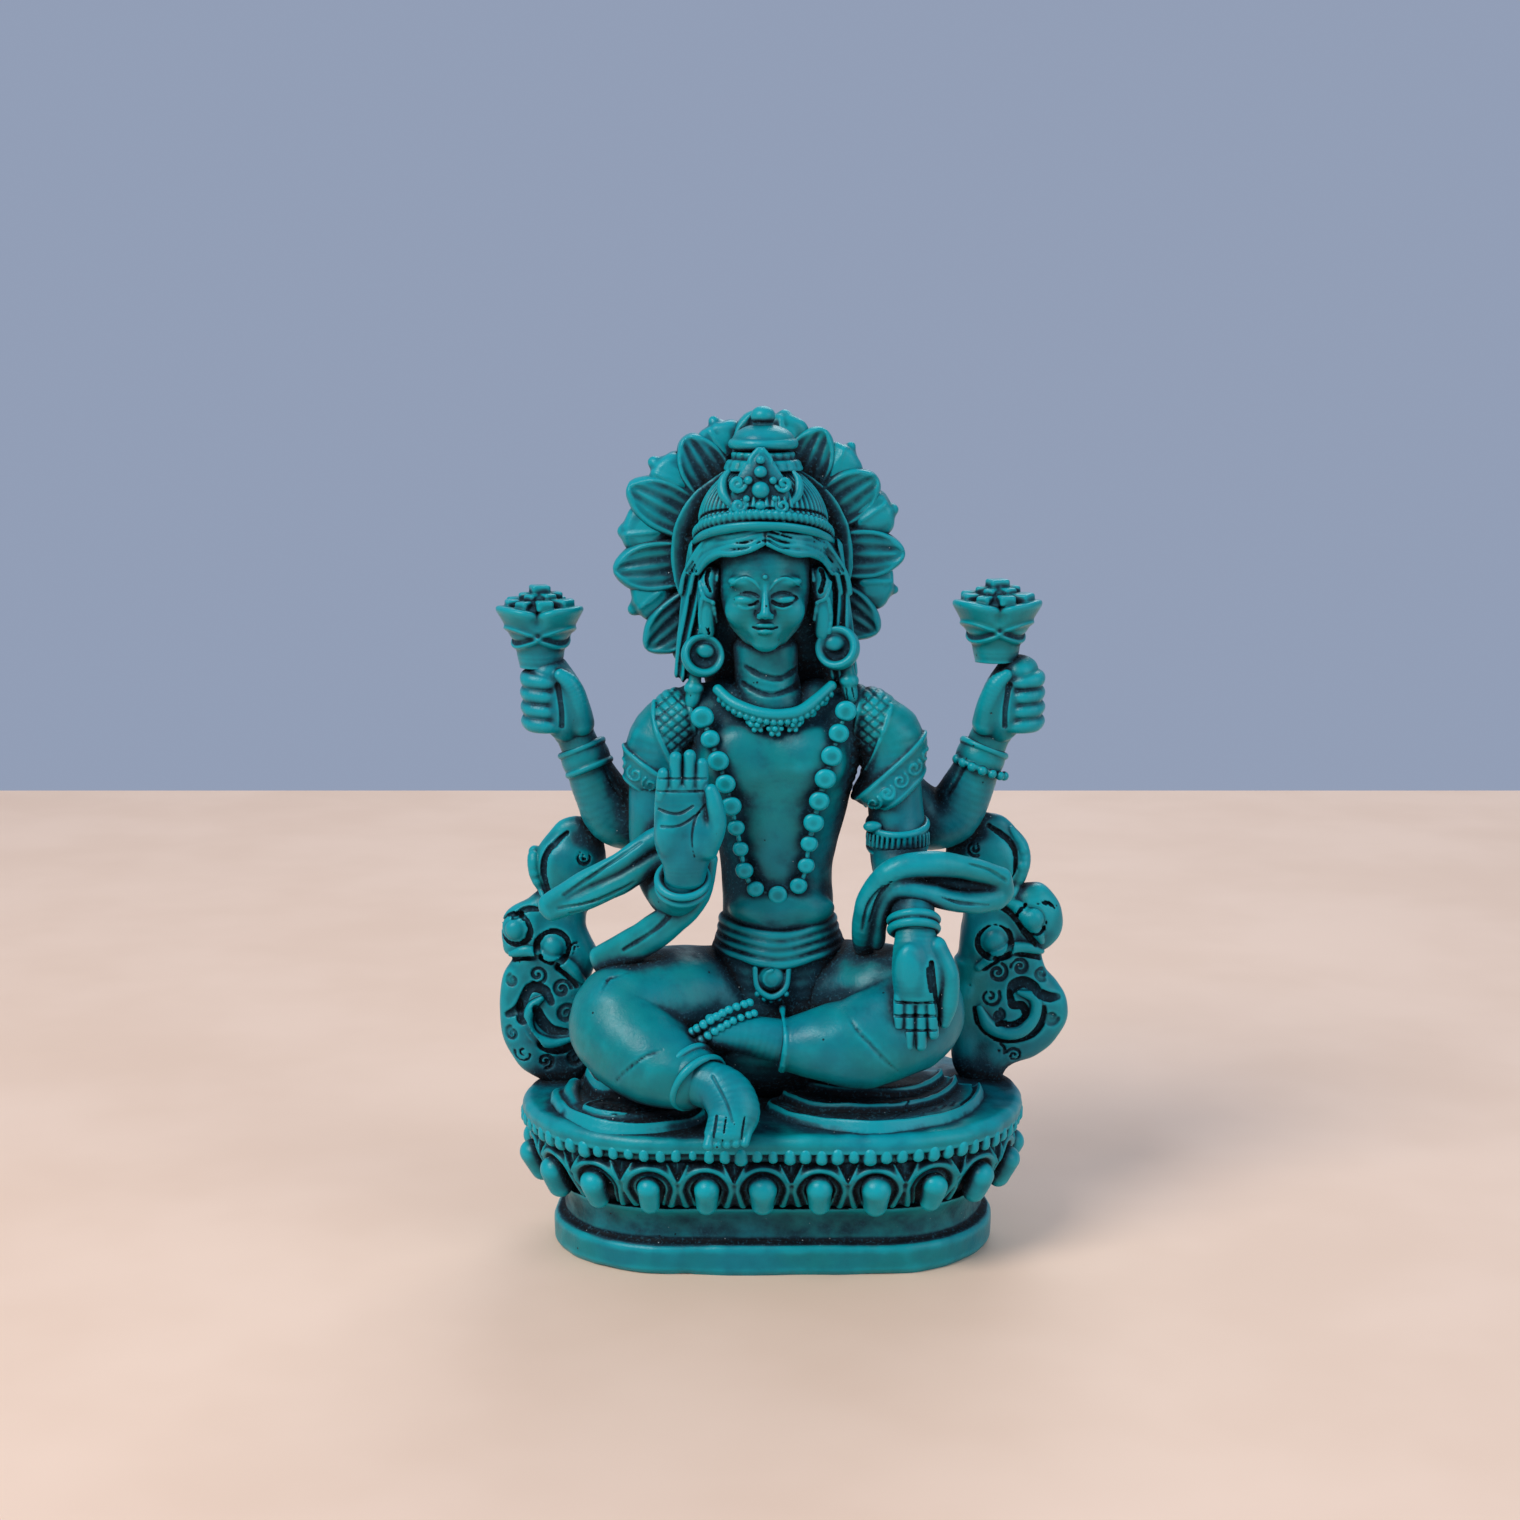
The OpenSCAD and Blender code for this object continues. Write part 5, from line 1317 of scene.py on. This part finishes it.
for name, look in SCROLLS.items():
    clay = sculpt(name, MEDIUM, 2.5)
    middle, half = sum(SCROLL_Y) / 2, (SCROLL_Y[1] - SCROLL_Y[0]) / 2
    for k, plan in enumerate(look["plans"]):
        def plate_shape(x, y, z, plan=polygon(plan), back=0.6 * k):
            inside = -plan(x, z)
            thick = half + 0.5 * rise(0, 3, inside) - 0.5 - back
            return round_box(-inside, np.abs(y - middle - back) - thick, 1.5)
        lo, hi = plan_box(plan)
        clay.add(solid(plate_shape, (lo[0], 2, lo[1]), (hi[0], 12, hi[1])), 0.4)
    for cx, cz, r in look["swells"]:
        clay.add(ball((cx, middle, cz), (r, half + 1.0, r)), 1)
    for side in ("front", "back"):
        for ridge in look["ridges"]:
            clay.trace(tapered(ridge, 0.5), 1.1, 1.25, True, side)
        for groove in look["grooves"]:
            clay.trace(tapered(groove, 0.45), 0.72, 1.05, side=side)
        for cx, cz, r in look["eyes"]:
            clay.trace(spiral(cx, cz, r + 0.8, r + 0.8, 0, 1), 0.55, 0.95, side=side)
            y = clay.skin(cx, cz, side)
            clay.add(ball((cx, y + (0.6 if side == "front" else -0.6), cz), (r, 1.3, r)), 0.3)
    for cx, cz, r in look["curls"]:
        turn = 1 if cx < 0 else -1
        for side in ("front", "back"):
            clay.trace(spiral(cx, cz, 1.15 * r, 0.2, 30 * cx, 1.4, turn), 0.27, 0.42, side=side)

# ---------------------------------------------------------------- shawls

def soft_fold(u, s):
    """Relief of cloth that is fullest along its middle."""
    return 0.92 + 0.08 * np.cos(math.pi * u)


clay = sculpt("right_shawl", MEDIUM, 2)
clay.add(tube([(-36.6, -9.6, 59.6, 1.9, 1.6, 2.2), (-31, -11, 63.8, 1.8, 1.6, 1.7),
               (-25, -11.8, 67, 1.8, 1.6, 1.7), (-19.6, -11, 70.8, 1.9, 1.7, 1.7),
               (-15, -10, 72.4, 1.8, 1.5, 1.6)]))
clay.add(tube([(-36, -9.6, 58.8, 1.8, 1.6, 2), (-31, -11, 60.8, 2, 1.8, 1.9), (-25, -11.8, 63.6, 2, 1.8, 1.9),
               (-19.6, -11, 66.8, 1.9, 1.8, 1.8), (-15, -10, 68.6, 1.8, 1.5, 1.6)]), 0.3)
clay.add(strap([(-10.2, -14.8, 68.4, 1.4, 1.4), (-13.2, -14.2, 61.2, 2.4, 1.8), (-20.6, -12, 54.8, 2.8, 1.9),
                (-27.8, -8.4, 49.6, 2.6, 1.7)], (0.2, -1, 0.3), 6, soft_fold))
clay.trace([(-14, 63.6), (-18, 57.6), (-24.4, 52.6)], 0.3, 0.35)
for points in ([(-34, 61.6), (-28, 66), (-21.4, 70.6)], [(-35, 59.4), (-29, 61), (-22.4, 64.2)],
               [(-33, 58.6), (-27.6, 60.4), (-21, 64)]):
    clay.trace(tapered(points, 0.5), 0.3, 0.45)

clay = sculpt("left_shawl", MEDIUM, 2)
LOOP = [(14.9, -9.6, 53, 1.6, 1.6, 2), (14.8, -12.8, 58, 1.9, 1.8, 2), (16, -14.6, 62.6, 2, 1.9, 2),
        (19.6, -15.6, 66.6, 2, 1.9, 2), (25.4, -15.2, 67.6, 1.9, 1.8, 1.9),
        (31.6, -12.6, 66.4, 1.8, 1.8, 1.8), (37.2, -9.2, 64, 1.9, 1.8, 2)]
clay.add(tube(LOOP))
clay.add(tube([(17, -11, 54, 1.2, 1.4, 1.6), (17.6, -14, 59.6, 1.3, 1.4, 1.6),
               (19.6, -15.8, 63.4, 1.4, 1.5, 1.6), (24.4, -15.6, 62.8, 1.6, 1.6, 1.6),
               (30, -13.2, 60.8, 1.9, 1.8, 1.8), (36, -9.6, 60.6, 2, 1.9, 2)]), 0.5)
clay.add(ball((36.8, -8.4, 62.2), (2.6, 2.4, 3.2)), 0.8)
clay.add(cone((20, -13.6, 65), (34, -10, 62.6), 1, 1.2), 0.3)
for points in ([(15.6, 58), (17.4, 63.4), (22, 67.4), (29, 67.4)], [(14.4, 56), (15.2, 61), (18, 65)],
               [(25, 63.2), (30, 61.2), (35, 60.2)], [(30, 68), (35, 66), (38, 63.8)]):
    clay.trace(tapered(points, 0.5), 0.3, 0.4)


# ---------------------------------------------------------------- resin, its antique wash, and painted shade and highlight

def linear(r, g, b):
    """A colour given in 0-255 sRGB, as the shaders want it."""
    channels = [c / 255 for c in (r, g, b)]
    return (*(c / 12.92 if c <= 0.04045 else ((c + 0.055) / 1.055) ** 2.4 for c in channels), 1)


class Wiring:
    """Short calls for a material's nodes; a number stands for itself, anything else is a socket."""

    def __init__(self, tree):
        self.tree = tree

    def node(self, kind, **settings):
        made = self.tree.nodes.new(kind)
        for key, value in settings.items():
            setattr(made, key, value)
        return made

    def wire(self, value, socket):
        if isinstance(value, (int, float, tuple)):
            socket.default_value = value
        else:
            self.tree.links.new(value, socket)

    def sum_of(self, kind, a, b):
        made = self.node("ShaderNodeMath", operation=kind)
        self.wire(a, made.inputs[0])
        self.wire(b, made.inputs[1])
        return made.outputs[0]

    def times(self, a, b):
        return self.sum_of("MULTIPLY", a, b)

    def minus(self, a, b):
        return self.sum_of("SUBTRACT", a, b)

    def plus(self, first, *others):
        for other in others:
            first = self.sum_of("ADD", first, other)
        return first

    def spread(self, value, a, b, to_a=0.0, to_b=1.0):
        """A soft step: from to_a where value is a to to_b where it is b."""
        made = self.node("ShaderNodeMapRange", interpolation_type="SMOOTHSTEP")
        for socket, v in zip(made.inputs, (value, a, b, to_a, to_b)):
            self.wire(v, socket)
        return made.outputs[0]

    def mix(self, share, a, b):
        made = self.node("ShaderNodeMix", data_type="RGBA")
        self.wire(share, made.inputs[0])
        self.wire(a, made.inputs[6])
        self.wire(b, made.inputs[7])
        return made.outputs[2]

    def noise(self, where, size, detail=3.0, rough=0.55):
        """Noise with features about size millimetres wide."""
        made = self.node("ShaderNodeTexNoise")
        self.wire(where, made.inputs["Vector"])
        self.wire(1 / (size * UNIT), made.inputs["Scale"])
        self.wire(detail, made.inputs["Detail"])
        self.wire(rough, made.inputs["Roughness"])
        return made.outputs["Fac"]

    def dots(self, where, size):
        """Cells about size millimetres wide: the distance to each one's point, and its own random colour."""
        made = self.node("ShaderNodeTexVoronoi")
        self.wire(where, made.inputs["Vector"])
        self.wire(1 / (size * UNIT), made.inputs["Scale"])
        return made.outputs["Distance"], made.outputs["Color"]

    def tag(self, name):
        return self.node("ShaderNodeAttribute", attribute_name=name).outputs["Fac"]


def resin(name, wash, bright):
    """Turquoise resin under a dark wash, with painted shade: wash is how readily it holds the wash and the
    painted shade, bright how much its highs are lightened, as wear and as painted highlight.
    """
    made = bpy.data.materials.new(name)
    made.use_nodes = True
    w = Wiring(made.node_tree)
    shader = made.node_tree.nodes["Principled BSDF"]
    where = w.node("ShaderNodeTexCoord").outputs["Object"]
    fine, deep1, deep2, deep3 = (w.tag(t) for t in ("fine", "deep1", "deep2", "deep3"))
    broad = w.noise(where, 16, 2)
    patch = w.noise(where, 3.2, 4)
    grain = w.noise(where, 0.5, 4, 0.65)

    # the darkening of hollows: antique wash held in the creases, and painted shade where the wider crowding
    # stands for shade between parts
    shading = ((deep1, 0.2, 2.2), (deep2, 0.12, 1.7), (deep3, 0.08, 2.3), (fine, 0, 1.1), (patch, 0.5, 0.9))
    hollow = w.plus(*(w.times(w.minus(value, middle), gain) for value, middle, gain in shading), wash)
    stain_and_shade = w.spread(hollow, -0.1, 0.62)
    crust_and_shade = w.spread(hollow, 0.5, 1.5)
    # lighter on convex and open places: worn highs of the resin, and painted highlight
    raised = w.spread(w.plus(w.times(fine, -1.0), w.times(hollow, -0.5)), 0.05, 0.5)

    body = w.mix(w.spread(broad, 0.35, 0.65), linear(0, 116, 130), linear(0, 120, 124))
    body = w.mix(w.spread(patch, 0.4, 0.75, 0, 0.35), body, linear(0, 102, 120))
    body = w.mix(w.times(raised, bright), body, linear(4, 160, 172))
    # dark teal, then near black in the deepest places: antique wash and painted shade together
    colour = w.mix(stain_and_shade, body, linear(2, 46, 60))
    colour = w.mix(crust_and_shade, colour, linear(5, 14, 22))

    # dust caught in the hollows, and a few white specks in it: bright grains, partly painted glints
    dust = w.times(w.spread(grain, 0.53, 0.68), w.spread(hollow, 0.15, 0.7))
    colour = w.mix(w.times(dust, 0.4), colour, linear(50, 112, 130))
    speck_at, speck_luck = w.dots(where, 0.55)
    lucky = w.spread(w.times(speck_luck, 1.0), 0.86, 0.9)
    glint_and_grit = w.times(w.times(w.spread(speck_at, 0.2, 0.1), lucky), w.spread(hollow, 0.1, 0.5))
    colour = w.mix(w.times(glint_and_grit, 0.75), colour, linear(205, 222, 224))

    # pinholes from the casting
    hole_at, hole_luck = w.dots(where, 2.6)
    hole = w.times(w.spread(hole_at, 0.085, 0.05), w.spread(w.times(hole_luck, 1.0), 0.72, 0.76))
    colour = w.mix(hole, colour, linear(8, 26, 36))

    w.wire(colour, shader.inputs["Base Color"])
    rough = w.plus(w.spread(hollow, 0.0, 0.8, 0.34, 0.75), w.times(w.minus(grain, 0.5), 0.25))
    w.wire(rough, shader.inputs["Roughness"])
    w.wire(0.24, shader.inputs["Specular IOR Level"])

    height = w.plus(w.times(grain, w.spread(hollow, 0.1, 0.8, 0.35, 1.6)), w.times(patch, 0.5))
    height = w.minus(height, w.times(hole, 2.5))
    bump_node = w.node("ShaderNodeBump")
    w.wire(0.55, bump_node.inputs["Strength"])
    w.wire(0.24 * UNIT, bump_node.inputs["Distance"])
    w.wire(height, bump_node.inputs["Height"])
    w.wire(bump_node.outputs[0], shader.inputs["Normal"])
    return made


materials = {"turquoise_resin": resin("turquoise_resin", 0.0, 0.6),
             "turquoise_resin_relief": resin("turquoise_resin_relief", -0.02, 0.9),
             "turquoise_resin_recess": resin("turquoise_resin_recess", 0.22, 0.35)}

# ---------------------------------------------------------------- the casting's unevenness, and its meshes

def gauss(field, sigma):
    """Blurs a lattice by sigma cells."""
    reach = max(1, int(math.ceil(2.6 * sigma)))
    kernel = np.exp(-0.5 * (np.arange(-reach, reach + 1) / sigma) ** 2)
    kernel /= kernel.sum()
    out = field
    for axis in range(3):
        padded = np.pad(out, [(reach, reach) if k == axis else (0, 0) for k in range(3)], mode="edge")
        total = np.zeros_like(out)
        for i, w in enumerate(kernel):
            cut = [slice(None)] * 3
            cut[axis] = slice(i, i + out.shape[axis])
            total += np.float32(w) * padded[tuple(cut)]
        out = total
    return out


def sample(field, at):
    """Values of a lattice at points given in cells."""
    i = np.clip(np.floor(at).astype(int), 0, np.array(field.shape) - 2)
    t = np.clip(at - i, 0, 1)
    out = np.zeros(len(at), np.float32)
    for corner in range(8):
        step = np.array([(corner >> k) & 1 for k in range(3)])
        weight = np.prod(np.where(step, t, 1 - t), axis=1)
        j = i + step
        out += weight * field[j[:, 0], j[:, 1], j[:, 2]]
    return out


waves, ripples = Uneven(6, 1), Uneven(1.9, 2)
for clay in pieces.values():
    share = 1.0 if clay.step > FINE * 1.2 else 0.45
    clay.press(lambda x, y, z: share * (0.13 * waves(x, y, z) + 0.055 * ripples(x, y, z)))

# how much clay stands just outside each place, at three scales: it darkens hollows, with the antique wash in
# fine creases and with painted shade in the broader hollows between parts
whole_lo = np.min([c.first * c.step for c in pieces.values()], axis=0)
whole_hi = np.max([(c.first + c.d.shape) * c.step for c in pieces.values()], axis=0)
whole = Clay(whole_lo - 8, whole_hi + 8, COARSE)
whole.d[:] = 0
for clay in pieces.values():
    lo = np.ceil(clay.first * clay.step / COARSE).astype(int)
    hi = np.floor((clay.first + np.array(clay.d.shape) - 1) * clay.step / COARSE).astype(int)
    axes = [np.arange(lo[k], hi[k] + 1) for k in range(3)]
    near = [np.clip(np.rint(a * COARSE / clay.step).astype(int) - clay.first[k], 0, clay.d.shape[k] - 1)
            for k, a in enumerate(axes)]
    filled = np.clip(0.5 - clay.d[np.ix_(*near)] / COARSE, 0, 1)
    at = tuple(slice(a[0] - whole.first[k], a[-1] + 1 - whole.first[k]) for k, a in enumerate(axes))
    whole.d[at] = np.maximum(whole.d[at], filled)
blurred = gauss(whole.d, 2 / COARSE)
CROWDING = {"deep1": (gauss(whole.d, 0.95 / COARSE), COARSE, 0.75), "deep2": (blurred, COARSE, 2.6),
            "deep3": (gauss(blurred[::2, ::2, ::2], 4 / (2 * COARSE)), 2 * COARSE, 6.5)}

slots = {row["node"]: row["material_slot"] for row in frame["record"]["subparts"]}
EDGE = 0.42                     # millimetres over which ridges and creases are told apart


def cast(node, clay):
    """Meshes a block of clay as the piece that stands for a CAD node."""
    d = clay.d
    for k in range(3):
        for end in (0, -1):
            cut = [slice(None)] * 3
            cut[k] = end
            d[tuple(cut)] = FAR
    grid = vdb.FloatGrid(FAR)
    grid.copyFromArray(np.ascontiguousarray(d), tolerance=0.0)
    points, quads = grid.convertToQuads(isovalue=0.0)
    a, b, c = (points[quads[:, k]] for k in range(3))
    if np.einsum("ij,ij->i", a, np.cross(b, c)).sum() < 0:
        quads = quads[:, ::-1]
    at = (points + clay.first) * clay.step
    mesh = bpy.data.meshes.new(node)
    mesh.vertices.add(len(at))
    mesh.vertices.foreach_set("co", (at * UNIT).astype(np.float32).ravel())
    mesh.loops.add(quads.size)
    mesh.loops.foreach_set("vertex_index", quads.astype(np.int32).ravel())
    mesh.polygons.add(len(quads))
    mesh.polygons.foreach_set("loop_start", np.arange(0, quads.size, 4, dtype=np.int32))
    mesh.polygons.foreach_set("use_smooth", np.ones(len(quads), bool))
    mesh.update(calc_edges=True)
    tags = {"fine": -sample(gauss(d, EDGE / clay.step), points) / EDGE}
    outward = np.empty(at.size, np.float32)
    mesh.vertices.foreach_get("normal", outward)
    for name, (field, size, reach) in CROWDING.items():
        place = at + reach * outward.reshape(-1, 3)
        tags[name] = sample(field, (place / COARSE - whole.first) * COARSE / size)
    for name, values in tags.items():
        mesh.attributes.new(name, "FLOAT", "POINT").data.foreach_set("value", values.astype(np.float32))
    piece = bpy.data.objects.new(f"cast_{node}", mesh)
    bpy.context.scene.collection.objects.link(piece)
    mesh.materials.append(materials[slots[node]])
    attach(piece, "root")
    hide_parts(node)


for node, clay in pieces.items():
    cast(node, clay)

# ---------------------------------------------------------------- floor, camera and light

scene = bpy.context.scene


def floor_material():
    """Matt pale board with a trace of fibre."""
    made = bpy.data.materials.new("floor_board")
    made.use_nodes = True
    w = Wiring(made.node_tree)
    shader = made.node_tree.nodes["Principled BSDF"]
    where = w.node("ShaderNodeTexCoord").outputs["Object"]
    tone = w.spread(w.noise(where, 60, 3), 0.3, 0.7)
    w.wire(w.mix(tone, linear(233, 203, 180), linear(227, 196, 172)), shader.inputs["Base Color"])
    w.wire(0.62, shader.inputs["Roughness"])
    return made


mesh = bpy.data.meshes.new("floor")
FLOOR_HALF, FLOOR_BACK = 1.6, 0.41      # metres: half the board's width, and where it ends behind
corners = [(-FLOOR_HALF, -FLOOR_HALF, 0), (FLOOR_HALF, -FLOOR_HALF, 0), (FLOOR_HALF, FLOOR_BACK, 0),
           (-FLOOR_HALF, FLOOR_BACK, 0)]
mesh.from_pydata(corners, [], [(0, 1, 2, 3)])
floor = bpy.data.objects.new("floor", mesh)
floor.location.z = cad_box[0][2]
mesh.materials.append(floor_material())
scene.collection.objects.link(floor)

CAMERA_PLACE = (-2.12, -407.5, 153)
LOOKS_DOWN = 9.9                        # degrees below level
LENS = 59.2                             # millimetres, on a sensor 36 wide

camera_data = bpy.data.cameras.new("camera")
camera_data.sensor_width = 36
camera_data.lens = LENS
camera_data.clip_start = 0.01
camera = bpy.data.objects.new("camera", camera_data)
camera.location = [v * UNIT for v in CAMERA_PLACE]
camera.rotation_euler = (math.radians(90 - LOOKS_DOWN), 0, 0)
scene.collection.objects.link(camera)
scene.camera = camera


def soft_light(name, place, aim, size, power, colour):
    data = bpy.data.lights.new(name, "AREA")
    data.shape = "DISK"
    data.size = size
    data.energy = power
    data.color = colour
    lamp = bpy.data.objects.new(name, data)
    lamp.location = place
    lamp.rotation_euler = (Vector(aim) - Vector(place)).to_track_quat("-Z", "Y").to_euler()
    scene.collection.objects.link(lamp)


soft_light("key", (-0.55, -0.55, 0.85), (0, 0, 0.07), 0.55, 9.5, (1, 0.985, 0.96))
soft_light("fill", (0.8, -0.55, 0.5), (0, 0, 0.07), 0.8, 3.0, (0.92, 0.96, 1))
soft_light("back", (0.15, 0.8, 0.75), (0, 0, 0.08), 0.6, 3.0, (0.93, 0.97, 1))

world = bpy.data.worlds.new("pale_room")
scene.world = world
world.use_nodes = True
background = world.node_tree.nodes["Background"]
background.inputs["Color"].default_value = linear(172, 186, 214)
background.inputs["Strength"].default_value = 0.7
scene.view_settings.view_transform = "Standard"
